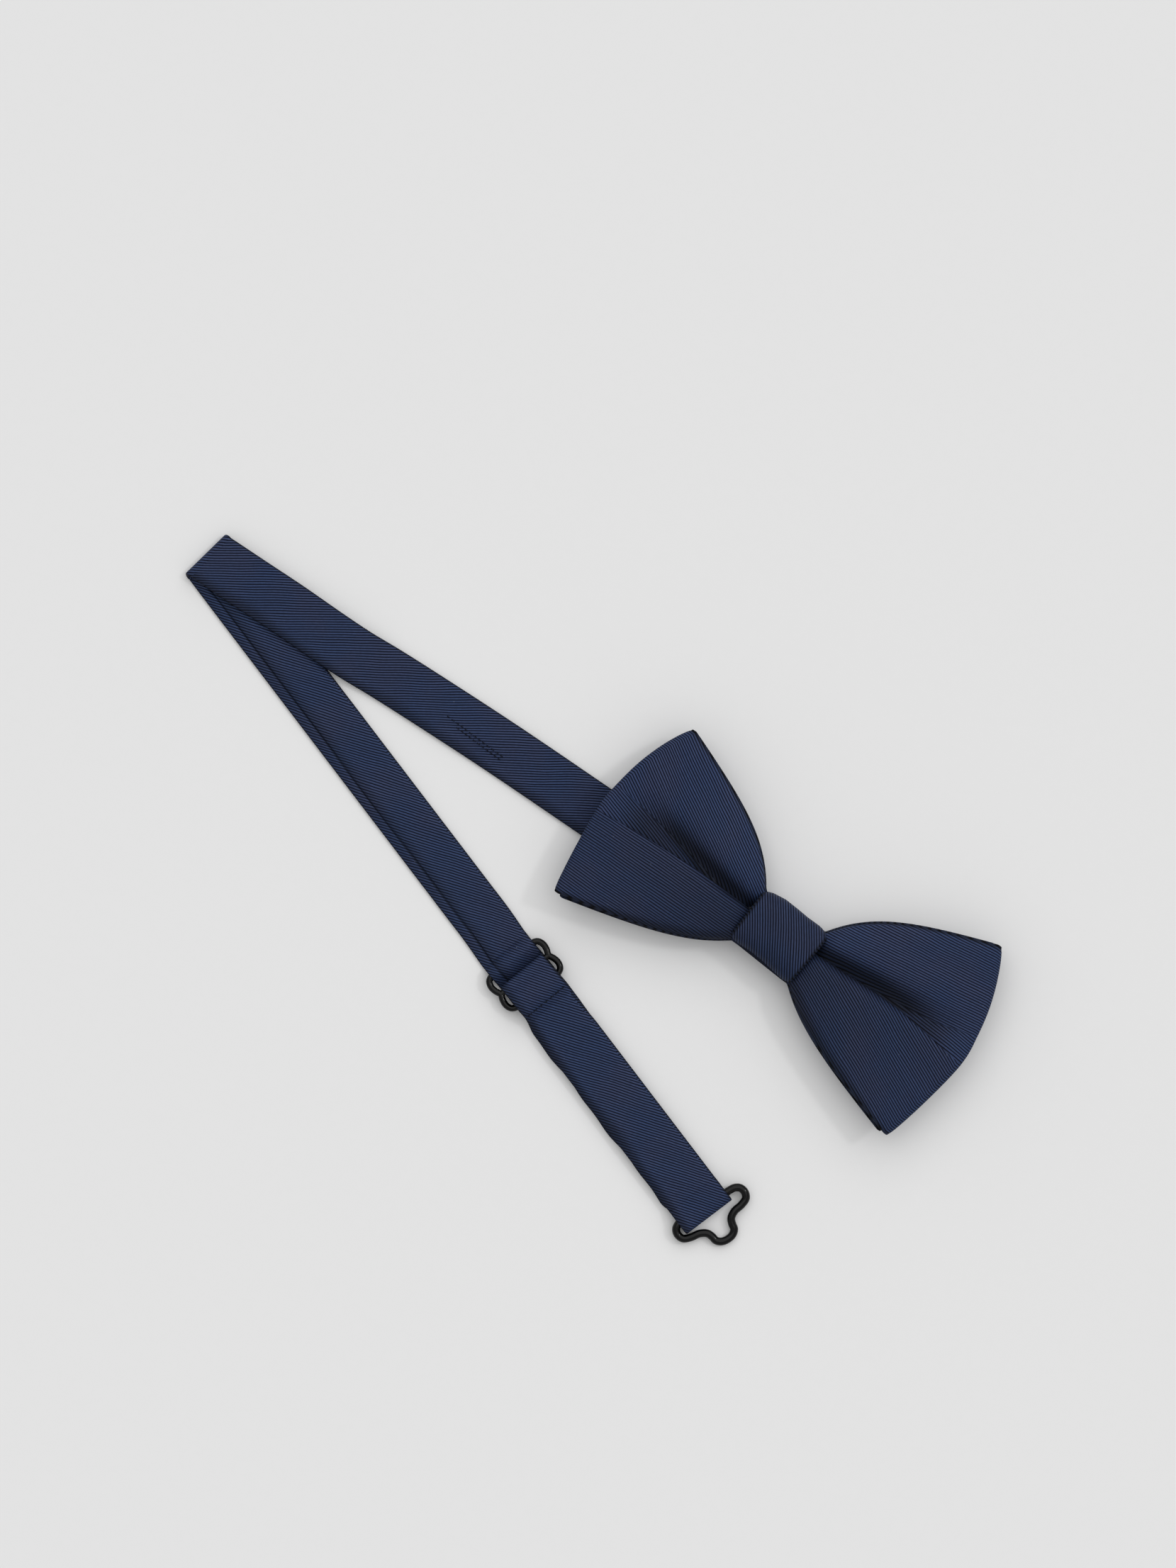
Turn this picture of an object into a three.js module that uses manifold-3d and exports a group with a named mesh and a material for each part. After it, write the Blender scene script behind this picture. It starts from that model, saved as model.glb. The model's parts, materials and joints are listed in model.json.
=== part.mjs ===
// Pre-tied bow tie, laid flat with its neck strap folded once beside it.
// Millimetres. +X runs along the bow, +Y across it, +Z away from the surface it lies on.
// The origin is the middle of the knot's back, on that surface.
import * as THREE from 'three';
import { mergeVertices } from 'three/addons/utils/BufferGeometryUtils.js';
import Module from 'manifold-3d';

const wasm = await Module();
wasm.setup();

const DEGREE = Math.PI / 180;

// Cloth thicknesses.
const STRAP_THICK = 1.4;
const STRAP_PINCHED = 0.8;
const HEM_THICK = 0.6;
const END_FOLD_THICK = 0.9;
const STRAP_WALL = 0.35;
const INTERLINING_THICK = 0.3;
const CLOTH_WALL = 0.7;
const FIT_GAP = 0.3;

// Neck strap.
const STRAP_WIDTH = 15.6;
const INTERLINING_WIDTH = 13.2;
const DOUBLED_WIDTH = 16.2;
const HEM_WIDTH = 15.0;
const KNOT_PASS_Z = 2.0;
const FOLD_TOP_Z = 2.6;
const FOLD = { x: -193.8, y: -6.0, reach: 1.9, slant: -10 * DEGREE };
const SLANT_RUN = 14;

// Lower leg of the strap: its own axes start at the fold, x along the strap and y across it.
const LEG_ANGLE = -17.1 * DEGREE;
const LEG_OFFSET = -0.4;
const LEG_MID_Z = STRAP_THICK / 2;
const RETURN_MID_Z = LEG_MID_Z + STRAP_THICK + 0.35;
const SLIDER_AT = 149.0;
const SLIDER_TURN = 2.1 * DEGREE;
const TURNED_GAP = 0.6;
const PASS_HALF = 9.7;
const RETURN_FROM = SLIDER_AT + 12.0 + TURNED_GAP;
const END_FOLD_FROM = 227.3;

// Wire fittings.
const SLIDER_WIRE = 0.875;
const SLIDER_Z = 2.6;
const SLIDER_BAR_PITCH = 5.7;
const SLIDER_WAIST = 8.7;
const EYE_WIRE = 1.15;
const EYE_BAR = { along: 231.7, across: 0.87, z: 2.35 };
const EYE_TURN = -4.5 * DEGREE;
const EYE_DROOP = 5.8 * DEGREE;
const HOOK_WIRE = 0.7;
const HOOK_BAR = { x: 38.6, z: 1.75 };

// Bow and knot.
const KNOT_HALF = { x: 10.5, y: 9.2 };
const KNOT_TOP = 13.4;
const KNOT_WALL = 1.0;
const WING_START = 11.0;
const WING_TIP = 62.6;
const BOW_HALF_AT_KNOT = 7.7;
const TOP_EDGE = { flare: 12.0, rise: 17.5 };
const LOWER_EDGE = { flare: 7.5, rise: 12.2 };
const FLARE_SHARE = 0.15;
const TIP_LEAN = 2.0;
const TIP_CURVE = 6.6;

// Thread.
const THREAD = 0.22;
const STITCH_PITCH = 2.0;
const STITCH_RISE = 0.12;
const TACK = [[-112.4, -4.7, 2.05], [-91.5, -3.9, 1.93]];
const TAIL_ROW = { back: 6.2, halfY: 7, z: 3.15 };
const HEM_ROW = { along: 9.5, halfY: 7, z: 4.85 };

const point = (x, y, z) => new THREE.Vector3(x, y, z);
const lerp = THREE.MathUtils.lerp;

// Turns the faces of a closed geometry outwards.
function facingOut(geometry) {
  const position = geometry.getAttribute('position');
  const index = geometry.getIndex().array;
  const corner = [point(0, 0, 0), point(0, 0, 0), point(0, 0, 0)];
  let volume = 0;
  for (let i = 0; i < index.length; i += 3) {
    corner.forEach((c, k) => c.fromBufferAttribute(position, index[i + k]));
    volume += corner[0].dot(corner[1].clone().cross(corner[2]));
  }
  if (volume < 0) {
    for (let i = 0; i < index.length; i += 3) {
      [index[i + 1], index[i + 2]] = [index[i + 2], index[i + 1]];
    }
  }
  geometry.computeVertexNormals();
  return geometry;
}

// Closed skin over rings that all have the same number of points. A loop joins the last ring
// to the first; otherwise the first and last rings are filled.
function skin(rings, loop = false) {
  const count = rings[0].length;
  const index = [];
  const spans = loop ? rings.length : rings.length - 1;
  for (let i = 0; i < spans; i++) {
    const a = i * count;
    const b = ((i + 1) % rings.length) * count;
    for (let j = 0; j < count; j++) {
      const k = (j + 1) % count;
      index.push(a + j, b + j, b + k, a + j, b + k, a + k);
    }
  }
  const last = (rings.length - 1) * count;
  for (let j = 1; j < count - 1 && !loop; j++) {
    index.push(0, j, j + 1, last, last + j + 1, last + j);
  }
  const geometry = new THREE.BufferGeometry();
  const numbers = rings.flat().flatMap((p) => p.toArray());
  geometry.setAttribute('position', new THREE.Float32BufferAttribute(numbers, 3));
  geometry.setIndex(index);
  return facingOut(geometry);
}

// Flat strip along a line of points: six-sided across, with a blunt edge on each side.
function stripRings(line, across, width, thick) {
  return line.map((p, i) => {
    const before = line[Math.max(i - 1, 0)];
    const after = line[Math.min(i + 1, line.length - 1)];
    const along = after.clone().sub(before).normalize();
    const side = across(p);
    const up = along.clone().cross(side).normalize();
    const half = width / 2;
    const shoulder = half - thick / 2;
    const top = [[half, 0], [shoulder, thick / 2], [-shoulder, thick / 2]];
    const outline = [...top, ...top.map(([w, h]) => [-w, -h])];
    return outline.map(([w, h]) => p.clone().addScaledVector(side, w).addScaledVector(up, h));
  });
}

function smoothLine(points, steps) {
  return new THREE.CatmullRomCurve3(points, false, 'centripetal').getSpacedPoints(steps);
}

const squareAcross = () => point(0, 1, 0);

function strip(points, steps, width, thick, across = squareAcross) {
  return skin(stripRings(smoothLine(points, steps), across, width, thick));
}

// Strip with an open-ended hollow for an interlining.
function sleeve(points, steps, width, thick, wall, across) {
  const line = smoothLine(points, steps);
  const outer = stripRings(line, across, width, thick);
  const inner = stripRings(line, across, width - 2 * wall, thick - 2 * wall);
  const around = outer[0].map((_, j) => [...outer.map((r) => r[j]), ...inner.map((r) => r[j]).reverse()]);
  return skin(around, true);
}

function sideProfile(pairs) {
  return pairs.map(([x, z]) => point(x, 0, z));
}

// Round wire bent into a closed outline.
function wireLoop(points, radius, steps) {
  const curve = new THREE.CatmullRomCurve3(points, true, 'centripetal');
  return merged(new THREE.TubeGeometry(curve, steps, radius, 8, true));
}

function merged(geometry) {
  geometry.deleteAttribute('normal');
  geometry.deleteAttribute('uv');
  return facingOut(mergeVertices(geometry, 1e-4));
}

function toSolid(geometry) {
  const vertProperties = Float32Array.from(geometry.getAttribute('position').array);
  const triVerts = Uint32Array.from(geometry.getIndex().array);
  return new wasm.Manifold(new wasm.Mesh({ numProp: 3, vertProperties, triVerts }));
}

function fromSolid(solid) {
  const mesh = solid.getMesh();
  const geometry = new THREE.BufferGeometry();
  geometry.setAttribute('position', new THREE.Float32BufferAttribute(mesh.vertProperties, 3));
  geometry.setIndex(Array.from(mesh.triVerts));
  return facingOut(geometry);
}

// One thread that rises and falls along a straight row of stitches, from a to b.
function stitchRow(a, b, rise = STITCH_RISE) {
  const length = a.distanceTo(b);
  const waves = Math.round(length / STITCH_PITCH);
  const points = [];
  for (let i = 0; i <= waves * 2; i++) {
    const p = a.clone().lerp(b, i / (waves * 2));
    p.z += i % 2 ? rise : 0;
    points.push(p);
  }
  const curve = new THREE.CatmullRomCurve3(points);
  const round = new THREE.Shape();
  round.absarc(0, 0, THREAD, 0, Math.PI * 2);
  const options = { steps: waves * 4, extrudePath: curve, curveSegments: 3, bevelEnabled: false };
  return merged(new THREE.ExtrudeGeometry(round, options));
}

// ---- Bow -------------------------------------------------------------------------------

// Half-height of a wing's upper or lower edge at x: it flares fast beside the knot, then evenly.
function wingEdge(x, flare, rise) {
  const s = Math.max(0, (Math.abs(x) - WING_START) / (WING_TIP - WING_START));
  return BOW_HALF_AT_KNOT + flare * (1 - Math.exp(-s / FLARE_SHARE)) + rise * s;
}

// Where the wing ends, at a place across it from -1 (lower corner) to 1 (upper corner).
function wingTip(t, inset) {
  return WING_TIP - inset - TIP_LEAN * t - TIP_CURVE * t * t;
}

// A bow is a flattened loop of doubled cloth. Each face is given by its height at the knot
// and at the wing's outer edge, and the front face may swell between the pleats.
// Share runs along the bow from -1 to 1, and face is 1 in front and -1 behind.
function bowPoint(bow, t, share, face, inset) {
  const reach = wingTip(t, bow.inset) - inset;
  const x = reach * share;
  const s = Math.max(0, (Math.abs(x) - WING_START) / (reach - WING_START));
  const edge = t > 0 ? TOP_EDGE : LOWER_EDGE;
  const y = t * (wingEdge(x, edge.flare, edge.rise) - bow.trim * s);
  const lobes = Math.sin(Math.PI * t) ** 2 * Math.sin(Math.PI * Math.min(1, s * 1.15)) ** 2;
  const top = lerp(bow.top[0], bow.top[1], s) + bow.swell * lobes - inset;
  const bottom = lerp(bow.bottom[0], bow.bottom[1], s) + inset;
  const lift = face * (1 - share * share) ** 0.2;
  return point(x, y, (top + bottom) / 2 + (lift * (top - bottom)) / 2);
}

const ACROSS = [-1, -0.8, -0.6, -0.4, -0.2, 0, 0.2, 0.4, 0.6, 0.8, 1];
const WING_SHARES = [0.172, 0.21, 0.26, 0.33, 0.42, 0.53, 0.65, 0.77, 0.88, 0.96, 0.995];
const SHARES = [...WING_SHARES.map((c) => -c).reverse(), ...WING_SHARES];

function bowLoop(bow) {
  const front = SHARES.map((share) => [share, 1]);
  const back = SHARES.map((share) => [share, -1]).reverse();
  const rings = [...front, ...back].map(([share, face]) => {
    const outer = ACROSS.map((t) => bowPoint(bow, t, share, face, 0));
    const inner = ACROSS.map((t) => bowPoint(bow, t, share, face, CLOTH_WALL)).reverse();
    return [...outer, ...inner];
  });
  return skin(rings, true);
}

// The stiff sheet inside a bow, clear of the loop all round.
function bowInterlining(bow) {
  const inset = CLOTH_WALL + FIT_GAP;
  const places = ACROSS.map((t) => t * 0.92);
  const rings = SHARES.map((share) => {
    const upper = places.map((t) => bowPoint(bow, t, share, 1, inset));
    const lower = places.map((t) => bowPoint(bow, t, share, -1, inset)).reverse();
    return [...upper, ...lower];
  });
  return skin(rings);
}

const REAR_BOW = { top: [6.2, 8.8], bottom: [3.0, 6.4], swell: 0, inset: 0.4, trim: -0.6 };
const FRONT_BOW = { top: [9.9, 11.3], bottom: [6.5, 9.1], swell: 1.9, inset: 0, trim: 0 };

// ---- Knot ------------------------------------------------------------------------------

function roundedProfile(halfY, low, high, corner) {
  const shape = new THREE.Shape();
  shape.moveTo(-halfY + corner, low);
  shape.lineTo(halfY - corner, low);
  shape.absarc(halfY - corner, low + corner, corner, -Math.PI / 2, 0);
  shape.absarc(halfY - corner, high - corner, corner, 0, Math.PI / 2);
  shape.absarc(-halfY + corner, high - corner, corner, Math.PI / 2, Math.PI);
  shape.absarc(-halfY + corner, low + corner, corner, Math.PI, Math.PI * 1.5);
  return shape;
}

// Extrudes a y-z profile along x, from -length / 2 to length / 2.
function alongX(shape, length) {
  const geometry = new THREE.ExtrudeGeometry(shape, { depth: length, bevelEnabled: false, curveSegments: 5 });
  geometry.translate(0, 0, -length / 2);
  geometry.rotateX(Math.PI / 2);
  geometry.rotateZ(Math.PI / 2);
  return merged(geometry);
}

const SEAM_Y = 4.2;
const SEAM_GROOVE = { width: 1.3, depth: 0.7 };
const PADDING = { inset: 1.2, low: 10.2, corner: 0.8, length: 18 };

function knotBand() {
  const length = KNOT_HALF.x * 2;
  const outer = toSolid(alongX(roundedProfile(KNOT_HALF.y, 0, KNOT_TOP, 4), length));
  const hole = roundedProfile(KNOT_HALF.y - KNOT_WALL, KNOT_WALL, KNOT_TOP - KNOT_WALL, 1.2);
  const inner = toSolid(alongX(hole, length + 2));
  const groove = new THREE.BoxGeometry(length - 3, SEAM_GROOVE.width, SEAM_GROOVE.depth * 2);
  groove.translate(0, SEAM_Y, 0);
  return fromSolid(outer.subtract(inner).subtract(toSolid(merged(groove))));
}

function knotPadding() {
  const halfY = KNOT_HALF.y - KNOT_WALL - PADDING.inset;
  const high = KNOT_TOP - KNOT_WALL - FIT_GAP;
  return alongX(roundedProfile(halfY, PADDING.low, high, PADDING.corner), PADDING.length);
}

// ---- Neck strap ------------------------------------------------------------------------

const TAIL_END = HOOK_BAR.x - 3.6;

// The strap's middle line from the short tail, through the knot, to the fold.
const UPPER_LINE = [
  point(TAIL_END, 0, LEG_MID_Z),
  point(16, 0, 1.3),
  point(6, 0, KNOT_PASS_Z),
  point(-14, 0, KNOT_PASS_Z),
  point(-30, -0.5, 1.2),
  point(-62, -1.3, 0.9),
  point(-94, -2.0, 0.8),
  point(-118, -3.1, 0.9),
  point(-142, -4.6, 1.7),
  point(-165, -5.3, FOLD_TOP_Z),
  point(FOLD.x + FOLD.reach, FOLD.y, FOLD_TOP_Z),
];

// Ends beside the crease are cut parallel to it, and the cut squares up away from it.
function slantedAcross(distance, slant) {
  return (p) => {
    const turn = slant * Math.max(0, 1 - distance(p) / SLANT_RUN);
    return point(-Math.sin(turn), Math.cos(turn), 0);
  };
}

const upperAcross = slantedAcross((p) => p.x - FOLD.x, FOLD.slant);
const lowerAcross = slantedAcross((p) => p.x, FOLD.slant - LEG_ANGLE);

// The strap turns under itself along a slanted crease.
function foldBend() {
  const middle = (FOLD_TOP_Z + LEG_MID_Z) / 2;
  const radius = (FOLD_TOP_Z - LEG_MID_Z) / 2;
  const line = [];
  const back = FOLD.reach - FIT_GAP;
  line.push(point(back, 0, middle + radius));
  for (let i = 0; i <= 10; i++) {
    const turn = Math.PI / 2 + (Math.PI * i) / 10;
    line.push(point(Math.cos(turn) * radius * 1.1, 0, middle + Math.sin(turn) * radius));
  }
  line.push(point(back, 0, middle - radius));
  return skin(stripRings(line, squareAcross, STRAP_WIDTH, END_FOLD_THICK));
}

const LOWER_LINE = [
  point(FOLD.reach + 0.4, LEG_OFFSET, LEG_MID_Z),
  point(70, LEG_OFFSET - 0.3, LEG_MID_Z),
  point(SLIDER_AT - PASS_HALF - TURNED_GAP, LEG_OFFSET, LEG_MID_Z),
];

// Side view of the strap where it runs over the slider's outer bars and under its middle bar.
const PASS_PROFILE = [[9.7, 0.7], [8.4, 1.1], [7.0, 3.3], [5.7, 4.05], [4.4, 3.3], [3.1, 1.6], [2.0, 0.6]];

function sliderPass() {
  const far = PASS_PROFILE.map(([x, z]) => [-x, z]);
  const near = [...PASS_PROFILE].reverse();
  return strip(sideProfile([...far, [0, 0.45], ...near]), 44, STRAP_WIDTH, STRAP_PINCHED);
}

// Side view of the hem: over the top, round the middle bar, and back beneath itself.
const HEM_PROFILE = [
  [12.0, 2.6], [10.4, 3.5], [8.2, 5.0], [5.7, 5.65], [3.0, 5.1], [1.2, 4.2], [0, 3.9], [-0.92, 3.52],
  [-1.3, 2.6], [-0.92, 1.68], [0, 1.3], [1.1, 1.8], [2.0, 3.0], [3.3, 4.2], [5.7, 4.9], [7.6, 4.3],
  [9.2, 3.0], [10.2, 2.3],
];

// Side view of the strap's end, folded round the eye's straight bar.
const END_FOLD_PROFILE = [
  [227.3, 0.7], [229.3, 0.57], [231.7, 0.52], [233.6, 0.9], [234.5, 2.35], [233.6, 3.8],
  [231.7, 4.18], [229.3, 3.7], [227.3, 2.8],
];

// Side view of the short tail's end, folded round the hook's straight bar.
const TAIL_FOLD_PROFILE = [
  [-3.3, 0.7], [-1.6, 0.5], [0, 0.45], [1.15, 0.85], [1.6, 1.75], [1.15, 2.65], [0, 3.05],
  [-1.6, 2.95], [-3.3, 2.6], [-8, 2.5],
];

// ---- Wire fittings ---------------------------------------------------------------------

// Closed outline from its half: the first and last points lie on the middle line.
function mirrored(half) {
  const other = half.slice(1, -1).reverse().map((p) => point(p.x, -p.y, p.z));
  return [...half, ...other];
}

const flatPoints = (pairs) => pairs.map(([x, y]) => point(x, y, 0));

// Half outline of the slider's frame, from the middle of one outer bar to the other.
const SLIDER_SIDE = [[5.7, 4.5], [5.7, 7.0], [5.0, 8.8], [3.4, 9.5], [1.6, 9.3], [0, SLIDER_WAIST]];

function sliderFrame() {
  const side = flatPoints(SLIDER_SIDE);
  const otherSide = side.slice(0, -1).reverse().map((p) => point(-p.x, p.y, 0));
  const half = [point(SLIDER_BAR_PITCH, 0, 0), ...side, ...otherSide, point(-SLIDER_BAR_PITCH, 0, 0)];
  const back = half.slice(1, -1).reverse().map((p) => point(p.x, -p.y, 0));
  const loop = toSolid(wireLoop([...half, ...back], SLIDER_WIRE, 76));
  const bar = new THREE.CylinderGeometry(SLIDER_WIRE, SLIDER_WIRE, SLIDER_WAIST * 2, 8);
  return fromSolid(loop.add(toSolid(merged(bar))));
}

// Half outline of the eye, from the middle of its straight bar round to the tip of its nose.
const EYE_SIDE = [
  [0, 0], [0, 4.5], [0, 8.4], [0.15, 9.4], [1.0, 10.7], [2.7, 11.2], [4.4, 10.5], [5.3, 8.4],
  [5.75, 5.8], [6.9, 4.0], [8.4, 3.35], [10.0, 3.0], [11.1, 1.7], [11.4, 0],
];

// Half of the hook: straight bar, shoulder, narrow tongue, and the tongue's bent-back end.
const HOOK_SIDE = [
  [0, 0, 0], [0, 4.5, 0], [0, 8.2, 0], [0.2, 8.9, 0], [1.4, 9.5, 0.2], [2.9, 8.4, 0.7], [4.6, 5.2, 1.7],
  [6.2, 2.2, 2.5], [7.8, 1.3, 2.8], [10.0, 1.25, 2.85], [11.6, 1.25, 2.5], [12.6, 1.25, 0.95],
  [11.6, 1.25, -0.6], [10.0, 1.25, -0.95], [8.4, 1.1, -0.95], [7.8, 0, -0.95],
];

// ---- Assembly --------------------------------------------------------------------------

const FINISHES = {
  cloth: { color: 0x1b2542, roughness: 0.75, metalness: 0 },
  interlining: { color: 0x3a3d44, roughness: 0.95, metalness: 0 },
  padding: { color: 0x55585e, roughness: 1, metalness: 0 },
  thread: { color: 0x0d1426, roughness: 0.6, metalness: 0 },
  wire: { color: 0x111315, roughness: 0.3, metalness: 0.2 },
};

function part(parent, name, geometry, finish) {
  const mesh = new THREE.Mesh(geometry, new THREE.MeshStandardMaterial(FINISHES[finish]));
  mesh.name = name;
  parent.add(mesh);
  return mesh;
}

function addBow(parent) {
  part(parent, 'rear_bow', bowLoop(REAR_BOW), 'cloth');
  part(parent, 'rear_bow_interlining', bowInterlining(REAR_BOW), 'interlining');
  part(parent, 'front_bow', bowLoop(FRONT_BOW), 'cloth');
  part(parent, 'front_bow_interlining', bowInterlining(FRONT_BOW), 'interlining');
  part(parent, 'knot_band', knotBand(), 'cloth');
  part(parent, 'knot_padding', knotPadding(), 'padding');
  const seam = stitchRow(point(-8.4, SEAM_Y, 0.24), point(8.4, SEAM_Y, 0.24), 0.14);
  part(parent, 'knot_back_stitch', seam, 'thread');
}

function addUpperStrap(parent) {
  const cloth = sleeve(UPPER_LINE, 44, STRAP_WIDTH, STRAP_THICK, STRAP_WALL, upperAcross);
  part(parent, 'strap_upper_leg', cloth, 'cloth');
  const ends = UPPER_LINE.map((p) => p.clone());
  ends[0].x -= 0.5;
  ends[ends.length - 1].x += 0.5;
  const stiffening = strip(ends, 44, INTERLINING_WIDTH, INTERLINING_THICK, upperAcross);
  part(parent, 'strap_upper_interlining', stiffening, 'interlining');
  const tack = stitchRow(...TACK.map((p) => point(...p)));
  part(parent, 'strap_tack_stitch', tack, 'thread');
}

function addTail(parent) {
  const line = sideProfile(TAIL_FOLD_PROFILE.map(([x, z]) => [x + HOOK_BAR.x, z]));
  part(parent, 'tail_end_fold', strip(line, 34, STRAP_WIDTH, HEM_THICK), 'cloth');
  const at = HOOK_BAR.x - TAIL_ROW.back;
  const row = [-TAIL_ROW.halfY, TAIL_ROW.halfY].map((y) => point(at, y, TAIL_ROW.z));
  part(parent, 'tail_stitch', stitchRow(...row), 'thread');
  const loop = mirrored(HOOK_SIDE.map(([x, y, z]) => point(x, y, z)));
  const hook = part(parent, 'collar_hook', wireLoop(loop, HOOK_WIRE, 84), 'wire');
  hook.position.set(HOOK_BAR.x, 0, HOOK_BAR.z);
}

function addFold(parent) {
  const bend = part(parent, 'strap_fold_bend', foldBend(), 'cloth');
  bend.position.set(FOLD.x, FOLD.y, 0);
  bend.rotation.z = FOLD.slant;
}

function addSlider(leg) {
  const group = new THREE.Group();
  group.position.set(SLIDER_AT, LEG_OFFSET, 0);
  group.rotation.z = SLIDER_TURN;
  leg.add(group);
  part(group, 'slider_frame', sliderFrame(), 'wire').position.z = SLIDER_Z;
  part(group, 'slider_strap_pass', sliderPass(), 'cloth');
  part(group, 'slider_hem', strip(sideProfile(HEM_PROFILE), 70, HEM_WIDTH, HEM_THICK), 'cloth');
  const row = [-HEM_ROW.halfY, HEM_ROW.halfY].map((y) => point(HEM_ROW.along, y, HEM_ROW.z));
  part(group, 'slider_hem_stitch', stitchRow(...row), 'thread');
}

function addEyeEnd(leg) {
  const offset = (p) => point(p.x, LEG_OFFSET, p.z);
  const end = sideProfile(END_FOLD_PROFILE).map(offset);
  part(leg, 'eye_end_fold', strip(end, 34, DOUBLED_WIDTH, END_FOLD_THICK), 'cloth');
  const loop = mirrored(flatPoints(EYE_SIDE));
  const eye = part(leg, 'collar_eye', wireLoop(loop, EYE_WIRE, 76), 'wire');
  eye.position.set(EYE_BAR.along, EYE_BAR.across, EYE_BAR.z);
  eye.rotation.set(0, EYE_DROOP, EYE_TURN, 'ZYX');
}

function addDoubledStrap(leg) {
  const to = END_FOLD_FROM - FIT_GAP;
  const under = [SLIDER_AT + PASS_HALF + TURNED_GAP, to].map((x) => point(x, LEG_OFFSET, LEG_MID_Z));
  const over = [RETURN_FROM, to].map((x) => point(x, LEG_OFFSET, RETURN_MID_Z));
  part(leg, 'strap_underlay', strip(under, 12, STRAP_WIDTH, STRAP_THICK), 'cloth');
  part(leg, 'strap_return', strip(over, 12, DOUBLED_WIDTH, STRAP_THICK), 'cloth');
}

function addLowerStrap(parent) {
  const leg = new THREE.Group();
  leg.position.set(FOLD.x, FOLD.y, 0);
  leg.rotation.z = LEG_ANGLE;
  parent.add(leg);
  const cloth = sleeve(LOWER_LINE, 14, STRAP_WIDTH, STRAP_THICK, STRAP_WALL, lowerAcross);
  part(leg, 'strap_lower_leg', cloth, 'cloth');
  const stiffening = strip(LOWER_LINE, 14, INTERLINING_WIDTH, INTERLINING_THICK, lowerAcross);
  part(leg, 'strap_lower_interlining', stiffening, 'interlining');
  addSlider(leg);
  addDoubledStrap(leg);
  addEyeEnd(leg);
}

const bowTie = new THREE.Group();
bowTie.name = 'bow_tie';
addBow(bowTie);
addUpperStrap(bowTie);
addTail(bowTie);
addFold(bowTie);
addLowerStrap(bowTie);

export default bowTie;
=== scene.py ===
"""Pre-tied bow tie: ribbed cloth bows, a wrapped knot and a folded neck strap with wire fittings.

Lengths here are millimetres in the frame's own axes, and become metres when a mesh is made.
"""

import json
import math

import bmesh
import bpy
import numpy as np
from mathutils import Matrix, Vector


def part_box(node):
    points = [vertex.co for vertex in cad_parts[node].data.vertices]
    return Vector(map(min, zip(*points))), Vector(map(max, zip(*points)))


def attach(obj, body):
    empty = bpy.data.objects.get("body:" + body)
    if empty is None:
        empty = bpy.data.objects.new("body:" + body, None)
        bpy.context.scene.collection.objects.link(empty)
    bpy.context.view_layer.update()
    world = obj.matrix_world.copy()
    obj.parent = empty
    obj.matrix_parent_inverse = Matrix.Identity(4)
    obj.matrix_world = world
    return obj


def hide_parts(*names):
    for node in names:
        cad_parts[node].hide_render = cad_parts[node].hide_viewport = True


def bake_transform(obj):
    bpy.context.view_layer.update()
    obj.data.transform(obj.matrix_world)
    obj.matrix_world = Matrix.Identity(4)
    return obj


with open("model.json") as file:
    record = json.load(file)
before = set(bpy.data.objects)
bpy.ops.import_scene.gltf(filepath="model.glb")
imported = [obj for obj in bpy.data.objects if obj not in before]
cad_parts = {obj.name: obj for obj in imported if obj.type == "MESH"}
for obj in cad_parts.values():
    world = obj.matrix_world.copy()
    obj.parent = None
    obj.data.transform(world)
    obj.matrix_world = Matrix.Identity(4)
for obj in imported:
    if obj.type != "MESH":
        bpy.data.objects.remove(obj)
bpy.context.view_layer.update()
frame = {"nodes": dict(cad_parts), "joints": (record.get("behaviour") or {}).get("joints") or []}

MM = 0.001
DEGREE = math.pi / 180
JOINTS = {joint["name"]: joint for joint in frame["joints"]}


def place(joint):
    return np.array(JOINTS[joint]["pos_m"]) / MM


def unit(v):
    return np.asarray(v, float) / np.linalg.norm(v)


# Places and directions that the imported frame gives.
FOLD = place("strap_fold")
LEG = unit(JOINTS["strap_adjust"]["axis"])
LEG_SIDE = np.cross([0, 0, 1], LEG)
EYE_PIVOT = place("eye_pivot")
EYE_BAR = unit(JOINTS["eye_pivot"]["axis"])
HOOK_PIVOT = place("hook_pivot")
SLIDER = np.mean(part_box("slider_frame"), axis=0) / MM
KNOT_FRONT_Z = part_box("knot_band")[1][2] / MM

# Cloth.
STRAP_WIDTH = 15.6
STRAP_THICK = 1.4
PINCHED_THICK = 0.8
DOUBLED_WIDTH = 16.2
HEM_WIDTH = 15.2
HEM_THICK = 0.6
END_FOLD_THICK = 0.7
LEG_OFFSET = -0.4
LEG_MID_Z = 0.7
FOLD_TOP_Z = 2.6
SEAM_AT = -STRAP_WIDTH / 2 + 3.1
SEAM_STEP = 0.35

# Ribs: spacing, and the direction they run in on each leg of the strap.
RIB_PITCH = 0.72
UPPER_RIB_ANGLE = 34.0 * DEGREE
LOWER_RIB_ANGLE = 18.0 * DEGREE

# Wire.
SLIDER_WIRE = 0.95
EYE_WIRE = 1.15
HOOK_WIRE = 0.7
SLIDER_TURN = 2.1 * DEGREE

THREAD = 0.16


# ---- Node materials ----


def new_material(name):
    material = bpy.data.materials.new(name)
    material.use_nodes = True
    tree = material.node_tree
    return material, tree, tree.nodes["Principled BSDF"]


def feed(tree, made, inputs):
    """Give a node its inputs. An input's value is a number, a colour or a socket."""
    for key, value in dict(inputs).items():
        if isinstance(value, bpy.types.NodeSocket):
            tree.links.new(value, made.inputs[key])
        else:
            made.inputs[key].default_value = value


def node(tree, kind, inputs=(), **settings):
    made = tree.nodes.new("ShaderNode" + kind)
    for key, value in settings.items():
        setattr(made, key, value)
    feed(tree, made, inputs)
    return made


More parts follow.
